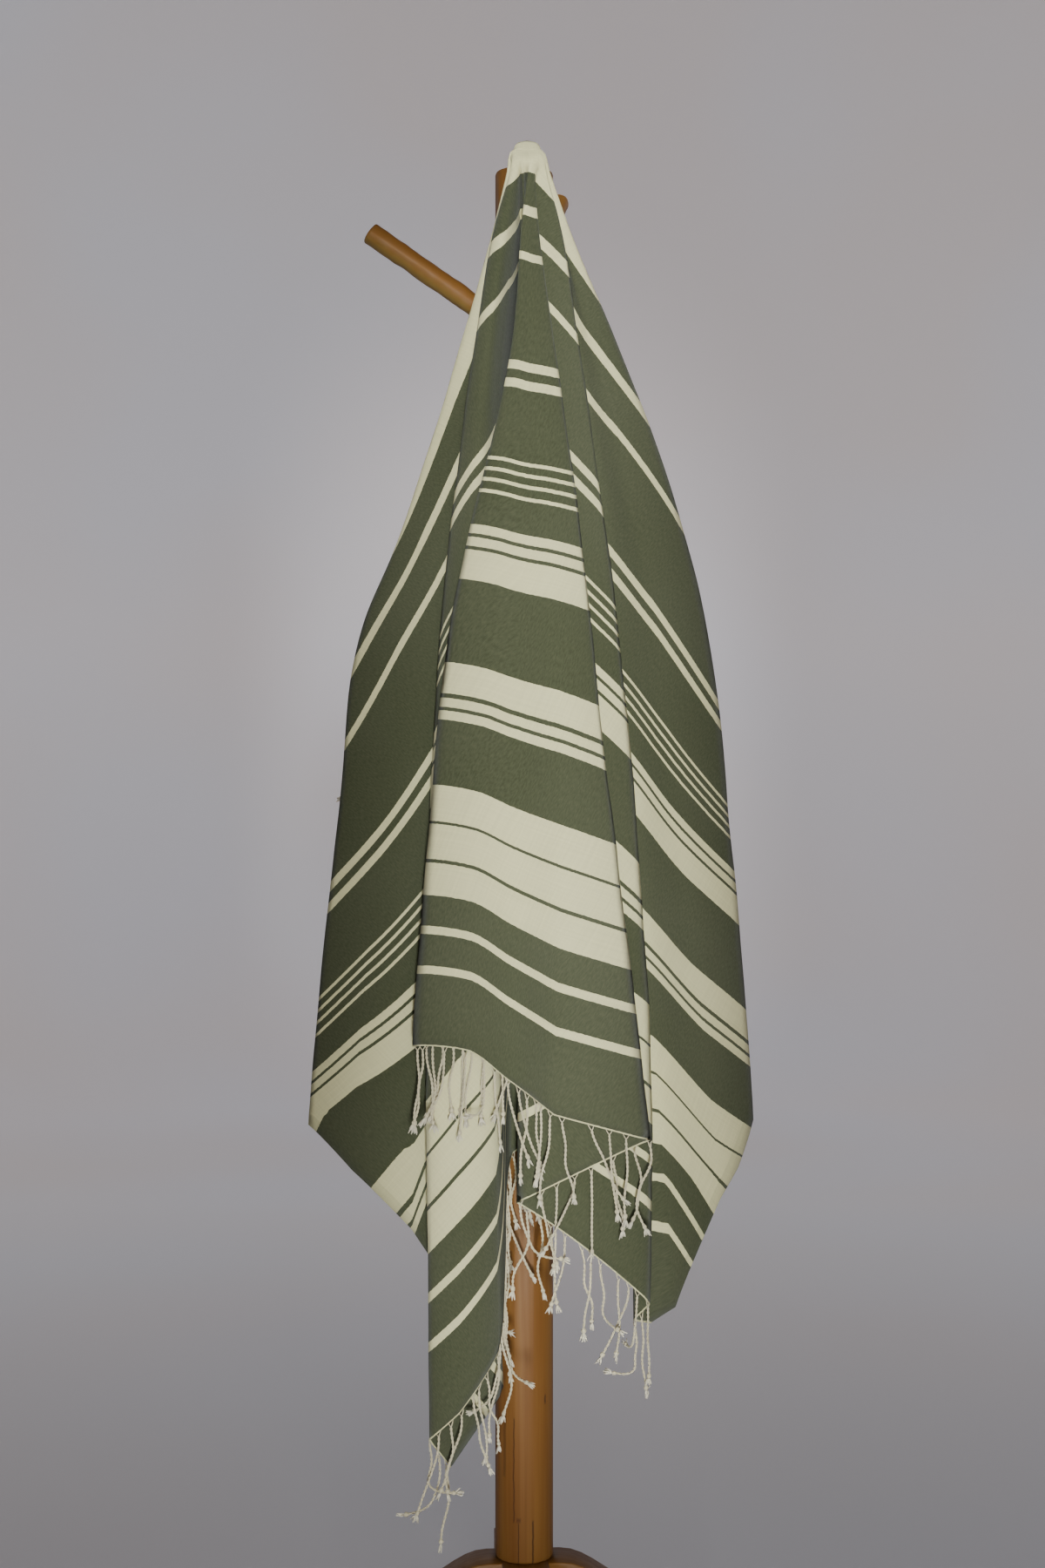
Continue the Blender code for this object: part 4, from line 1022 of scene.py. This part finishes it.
def mark_group():
    """1 along an upright hairline on the front of the wood, fading out at its ends."""
    group, graph, given, result = new_group(
        "Upright mark",
        (("Place", "Vector"), ("Across", "Float"), ("Foot", "Float"), ("Head", "Float"),
         ("Half Width", "Float", 0.001)),
        (("Mask", "Float"),))
    x, y, z = graph.split(given["Place"])
    sway = graph.math("MULTIPLY_ADD", graph.streaks(given["Place"], (0.0, 0.0, 46.0)), 0.004, -0.002)
    away = graph.math("ABSOLUTE", graph.minus(graph.plus(x, sway), given["Across"]))
    side = graph.times(1.6, graph.minus(1.0, graph.math("DIVIDE", away, given["Half Width"])))
    to_end = graph.least(graph.minus(z, given["Foot"]), graph.minus(given["Head"], z))
    inside = graph.least(graph.least(side, graph.math("DIVIDE", to_end, 0.004)), 1.0)
    front = graph.math("LESS_THAN", y, 0.0)
    graph.link(graph.times(front, graph.math("MAXIMUM", inside, 0.0)), result["Mask"])
    return group


# ---- materials ----------------------------------------------------------
def new_material(name, roughness, sheen=0.0):
    mat = bpy.data.materials.new(name)
    mat.use_nodes = True
    shader = mat.node_tree.nodes["Principled BSDF"]
    for socket, value in (("Roughness", roughness), ("Sheen Weight", sheen), ("Sheen Roughness", 0.6),
                          ("Specular IOR Level", 0.25)):
        shader.inputs[socket].default_value = value
    return mat, Graph(mat.node_tree), shader.inputs


def striped_cotton(sizes):
    """Green cloth with cream bands, a plain weave and hems, all on the cloth's flat places."""
    mat, graph, shader = new_material("striped cotton", 0.88, sheen=0.12)
    flat = graph.node("ShaderNodeUVMap", uv_map="flat").outputs["UV"]
    across, along, _ = graph.split(flat)
    wander = graph.minus(graph.streaks(flat, (300.0, 20.0, 1.0), 1.0), 0.5)
    distance = graph.plus(graph.math("ABSOLUTE", along), graph.times(wander, STRIPE_WANDER))
    bands = graph.use(stripes_group(), {"Distance": distance})
    woven = graph.use(weave_group(), {"Flat": flat})
    green = graph.mix(woven["Fleck"], sizes.sage, sizes.sage_fleck)
    cream = graph.mix(graph.ramp(woven["Slub"], 0.35, 0.65), [c * 0.90 for c in sizes.cream], sizes.cream)
    colour = graph.mix(bands["Cream"], green, cream)
    faded = graph.ramp(graph.streaks(flat, (3.0, 3.0, 1.0)), 0.4, 0.7)
    colour = graph.mix(graph.times(faded, 0.05), colour, FADED)
    inside = graph.least(graph.minus(CLOTH_LEFT, across), graph.plus(CLOTH_RIGHT, across))
    hem = graph.math("LESS_THAN", inside, sizes.hem_width)
    colour = graph.mix(graph.times(hem, 0.16), colour, HEM_SHADE)
    graph.link(colour, shader["Base Color"])
    step = graph.ramp(inside, sizes.hem_width + HEM_STEP, sizes.hem_width - HEM_STEP)
    yarns = graph.plus(graph.times(woven["Height"], 0.35), woven["Slub"])
    fine = graph.bump(graph.plus(yarns, graph.times(step, 2.0)), 0.55, 0.0004)
    crumple = graph.streaks(flat, (46.0, 30.0, 1.0), 3.0, 0.45)
    graph.link(graph.bump(crumple, 0.30, 0.004, fine), shader["Normal"])
    return mat


def twisted_yarn(name, colour, low):
    """Matt yarn whose tone wanders between its colour and a low share of it."""
    mat, graph, shader = new_material(name, 0.9, sheen=0.2)
    place = graph.object_place()
    fibre, tone = graph.noise(place, 900.0), graph.noise(place, 26.0, 1.0)
    shade = graph.ramp(graph.plus(graph.times(fibre, 0.5), graph.times(tone, 0.5)), 0.35, 0.65)
    graph.link(graph.mix(shade, [c * low for c in colour], colour), shader["Base Color"])
    graph.link(graph.bump(fibre, 0.5, 0.0003), shader["Normal"])
    return mat


def oiled_wood(name, looks, grain, turn, place, shade):
    """Wood whose grain runs along Z once turned: the material, its graph, its shader, its places."""
    mat, graph, shader = new_material(name, looks.roughness)
    where = graph.object_place()
    wood = graph.use(grain, {"Along Z": graph.stretch(where, (1.0, 1.0, 1.0), turn, place),
                             "Light": [c * shade for c in looks.light] + [1.0],
                             "Dark": [c * shade for c in looks.dark] + [1.0]})
    rough = graph.ramp(wood["Gloss"], 0.0, 1.0, looks.roughness - 0.06, looks.roughness + 0.14)
    graph.link(wood["Color"], shader["Base Color"])
    graph.link(rough, shader["Roughness"])
    graph.link(graph.bump(wood["Height"], 0.2, 0.0004), shader["Normal"])
    return mat, graph, shader, where


def recolour(graph, shader, mask, colour):
    """Lays a colour over a material's own where the mask is 1."""
    before = shader["Base Color"].links[0].from_socket
    graph.link(graph.mix(mask, before, colour), shader["Base Color"])


def post_wood(looks, grain):
    """The post's wood, with the cracks, the knot and the nick of its front."""
    mat, graph, shader, where = oiled_wood("post wood", looks, grain, (0.0, 0.0, 0.4),
                                           (0.013, 0.07, 0.0), 0.8)
    marks = mark_group()
    for _, across, foot, head, half_width, depth in POST_MARKS:
        mark = graph.use(marks, {"Place": where, "Across": across, "Foot": foot, "Head": head,
                                 "Half Width": half_width})
        recolour(graph, shader, graph.times(mark["Mask"], depth), MARK_BROWN)
    return mat


def peg_wood(name, looks, grain, turn, height):
    """Orange on the peg's upper side and olive along its lower one, where the olive is painted shade."""
    axis = peg_axis(turn)
    to_grain = Vector(axis).rotation_difference(Vector((0.0, 0.0, 1.0))).to_euler()
    mat, graph, shader, where = oiled_wood(name + " wood", looks, grain, to_grain,
                                           (0.04, 0.02 * height, 0.0), 1.0)
    from_axis = graph.vector_math("SUBTRACT", where, (0.0, 0.0, height))[0]
    level = graph.vector_math("DOT_PRODUCT", from_axis, upward(axis))["Value"]
    sway = graph.math("MULTIPLY_ADD", graph.noise(where, 60.0, 1.0), 0.006, -0.003)
    # painted shade: the lower side of the peg is tinted olive
    below = graph.ramp(graph.plus(level, sway), -0.002, -0.011)
    recolour(graph, shader, graph.times(below, 0.6), OLIVE_PAINTED_SHADE)
    return mat


def floor_material(looks):
    """A matt floor with painted shade that makes it greyer near the stand, and a painted glow, stronger
    behind the stand and higher up.
    """
    mat, graph, shader = new_material("pale floor", 0.9)
    where = graph.object_place()
    far = graph.vector_math("LENGTH", where)["Value"]
    blotch = graph.ramp(graph.noise(where, 0.8, 1.0), 0.35, 0.65)
    wall = graph.mix(blotch, looks.floor, looks.floor_warm)
    # painted shade: the floor is darker near the stand, lighter towards the backdrop
    near = [c * FLOOR_PAINTED_SHADE for c in looks.floor]
    graph.link(graph.mix(graph.ramp(far, 0.6, 5.4), near, wall), shader["Base Color"])
    # painted light: the backdrop glows, stronger behind the stand and higher up
    _, back, up = graph.split(where)
    rise = graph.ramp(up, 0.0, 1.5, 0.75, 1.0)
    glow = graph.times(graph.times(graph.ramp(back, -2.5, 2.6), rise), looks.glow)
    graph.link(wall, shader["Emission Color"])
    graph.link(glow, shader["Emission Strength"])
    return mat


# ---- stage --------------------------------------------------------------
def lay_floor(looks):
    """A round floor that curves up into a backdrop on all sides, far from the stand."""
    profile = [(0.0, 0.0), (FLOOR_RADIUS, 0.0)]
    for k in range(1, COVE_STEPS + 1):
        turn = math.pi / 2 * k / COVE_STEPS
        profile.append((FLOOR_RADIUS + COVE * math.sin(turn), COVE * (1.0 - math.cos(turn))))
    profile.append((FLOOR_RADIUS + COVE, WALL_TOP))
    mesh = bpy.data.meshes.new("floor")
    bm = bmesh.new()
    line = [bm.verts.new((x, 0.0, z)) for x, z in profile]
    edges = [bm.edges.new(pair) for pair in zip(line, line[1:])]
    bmesh.ops.spin(bm, geom=line + edges, axis=(0, 0, 1), cent=(0, 0, 0), steps=72,
                   angle=2 * math.pi)
    bmesh.ops.remove_doubles(bm, verts=bm.verts, dist=0.0001)
    bmesh.ops.recalc_face_normals(bm, faces=bm.faces)
    bmesh.ops.reverse_faces(bm, faces=bm.faces)
    bm.to_mesh(mesh)
    bm.free()
    mesh.shade_smooth()
    mesh.materials.append(floor_material(looks))
    floor = bpy.data.objects.new("floor", mesh)
    bpy.context.scene.collection.objects.link(floor)


def area_light(name, place, aim, size, power, colour=(1.0, 1.0, 1.0)):
    data = bpy.data.lights.new(name, "AREA")
    data.shape = "DISK"
    data.size = size
    data.energy = power
    data.color = colour
    lamp = bpy.data.objects.new(name, data)
    bpy.context.scene.collection.objects.link(lamp)
    lamp.location = place
    lamp.rotation_euler = (Vector(aim) - Vector(place)).to_track_quat("-Z", "Y").to_euler()
    lamp.visible_camera = False
    return data


def light_stage(looks):
    """A warm key, a cool and narrow upright strip that picks out the front, and three weak fills."""
    area_light("key", (0.4, -2.9, 1.5), LIGHT_AIM, 0.8, looks.key, (1.0, 0.95, 0.87))
    strip = area_light("strip", (0.06, -2.8, 1.2), (0.03, 0.0, 1.2), 0.1, looks.strip, (0.96, 1.0, 1.0))
    strip.shape = "RECTANGLE"
    strip.size_y = 2.2
    strip.spread = math.radians(15.0)
    for name, place, size in FILLS:
        area_light(name, place, LIGHT_AIM, size, looks.fill)
    world = bpy.data.worlds.new("studio")
    world.use_nodes = True
    ambient = world.node_tree.nodes["Background"]
    ambient.inputs["Color"].default_value = (0.93, 0.95, 1.0, 1.0)
    ambient.inputs["Strength"].default_value = 0.05
    bpy.context.scene.world = world


def place_camera(looks):
    data = bpy.data.cameras.new("camera")
    data.lens = looks.focal
    data.sensor_width = 36.0
    camera = bpy.data.objects.new("camera", data)
    bpy.context.scene.collection.objects.link(camera)
    camera.location = (CAMERA_ACROSS, -looks.camera_distance, looks.camera_height)
    camera.rotation_euler = (math.radians(90.0), 0.0, 0.0)
    bpy.context.scene.camera = camera


# ---- operators ----------------------------------------------------------
class TOWEL_OT_hang(bpy.types.Operator):
    """Hang the striped towel over the front peg"""
    bl_idname = "towel.hang"
    bl_label = "Hang towel"

    def execute(self, context):
        sizes = context.scene.towel
        flat, places = hung_sheet(sizes)
        mesh = sheet_mesh("towel", flat, places, sizes.hem_width)
        towel = new_piece("towel", mesh, striped_cotton(sizes))
        towel.vertex_groups.new(name="selvedge")
        wall = towel.modifiers.new("thickness", "SOLIDIFY")
        wall.thickness = sizes.thickness
        wall.offset = 0.0
        wall.vertex_group = "selvedge"
        wall.thickness_vertex_group = 0.5
        apply_modifiers(towel)
        towel.data.shade_smooth()
        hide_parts("towel_cloth")
        return {"FINISHED"}


class TOWEL_OT_add_fringe(bpy.types.Operator):
    """Knot twisted cords along both ends of the hung towel"""
    bl_idname = "towel.add_fringe"
    bl_label = "Add fringe"

    def execute(self, context):
        sizes, looks = context.scene.towel, context.scene.fringe
        flat, places = hung_sheet(sizes)
        mesh = sheet_mesh("bare sheet", flat, places, sizes.hem_width)
        surface = BVHTree.FromPolygons([v.co for v in mesh.vertices],
                                       [p.vertices for p in mesh.polygons])
        bpy.data.meshes.remove(mesh)
        yarn = twisted_yarn("twisted yarn", looks.yarn, 0.84)
        tuft = twisted_yarn("cut yarn", looks.tuft, 0.9)
        for name, end, node in (("front_cords", 1, "front_fringe"), ("back_cords", -1, "back_fringe")):
            mesh = fringe_mesh(name, flat, places, end, surface, looks)
            fringe = new_piece(name, mesh, yarn, tuft)
            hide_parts(node)
        return {"FINISHED"}


class TOWEL_OT_finish_stand(bpy.types.Operator):
    """Put smooth post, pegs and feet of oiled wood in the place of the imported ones"""
    bl_idname = "towel.finish_stand"
    bl_label = "Finish stand"

    def execute(self, context):
        looks = context.scene.wood
        grain = grain_group()
        smooth_copy("stand_post", "post", post_wood(looks, grain))
        for name, turn, height in PEGS:
            peg = smooth_copy(name, name + "_hewn", peg_wood(name, looks, grain, turn, height))
            hew(peg, looks.unevenness)
        lying = Matrix.Rotation(math.radians(90.0), 3, "Y")
        for name, turn in (("foot_through", FOOT_TURN), ("foot_over", FOOT_TURN + 90.0)):
            along = (lying @ Matrix.Rotation(math.radians(-turn), 3, "Z")).to_euler()
            mat = oiled_wood(name + " wood", looks, grain, along, (0.0, 0.03, 0.0), 0.85)[0]
            smooth_copy(name, name + "_planed", mat)
        return {"FINISHED"}


class TOWEL_OT_set_stage(bpy.types.Operator):
    """Lay the pale floor and set the studio light and the camera"""
    bl_idname = "towel.set_stage"
    bl_label = "Set stage"

    def execute(self, context):
        looks = context.scene.stage
        lay_floor(looks)
        light_stage(looks)
        place_camera(looks)
        return {"FINISHED"}


class TOWEL_PT_panel(bpy.types.Panel):
    bl_label = "Hammam towel"
    bl_idname = "TOWEL_PT_panel"
    bl_space_type = "VIEW_3D"
    bl_region_type = "UI"
    bl_category = "Towel"

    def draw(self, context):
        for name, group, operator in SECTIONS:
            box = self.layout.box()
            for key in group.__annotations__:
                box.prop(getattr(context.scene, name), key)
            box.operator(operator.bl_idname)


# the scene's name for its settings, their group, and the operator that uses them
SECTIONS = (
    ("wood", WoodSettings, TOWEL_OT_finish_stand),
    ("towel", TowelSettings, TOWEL_OT_hang),
    ("fringe", FringeSettings, TOWEL_OT_add_fringe),
    ("stage", StageSettings, TOWEL_OT_set_stage),
)


def register():
    for name, group, operator in SECTIONS:
        bpy.utils.register_class(group)
        bpy.utils.register_class(operator)
        setattr(bpy.types.Scene, name, PointerProperty(type=group))
    bpy.utils.register_class(TOWEL_PT_panel)


def unregister():
    bpy.utils.unregister_class(TOWEL_PT_panel)
    for name, group, operator in reversed(SECTIONS):
        delattr(bpy.types.Scene, name)
        bpy.utils.unregister_class(operator)
        bpy.utils.unregister_class(group)


def main():
    register()
    bpy.ops.object.select_all(action="DESELECT")
    bpy.ops.towel.finish_stand()
    bpy.ops.towel.hang()
    bpy.ops.towel.add_fringe()
    bpy.ops.towel.set_stage()


if __name__ == "__main__":
    main()
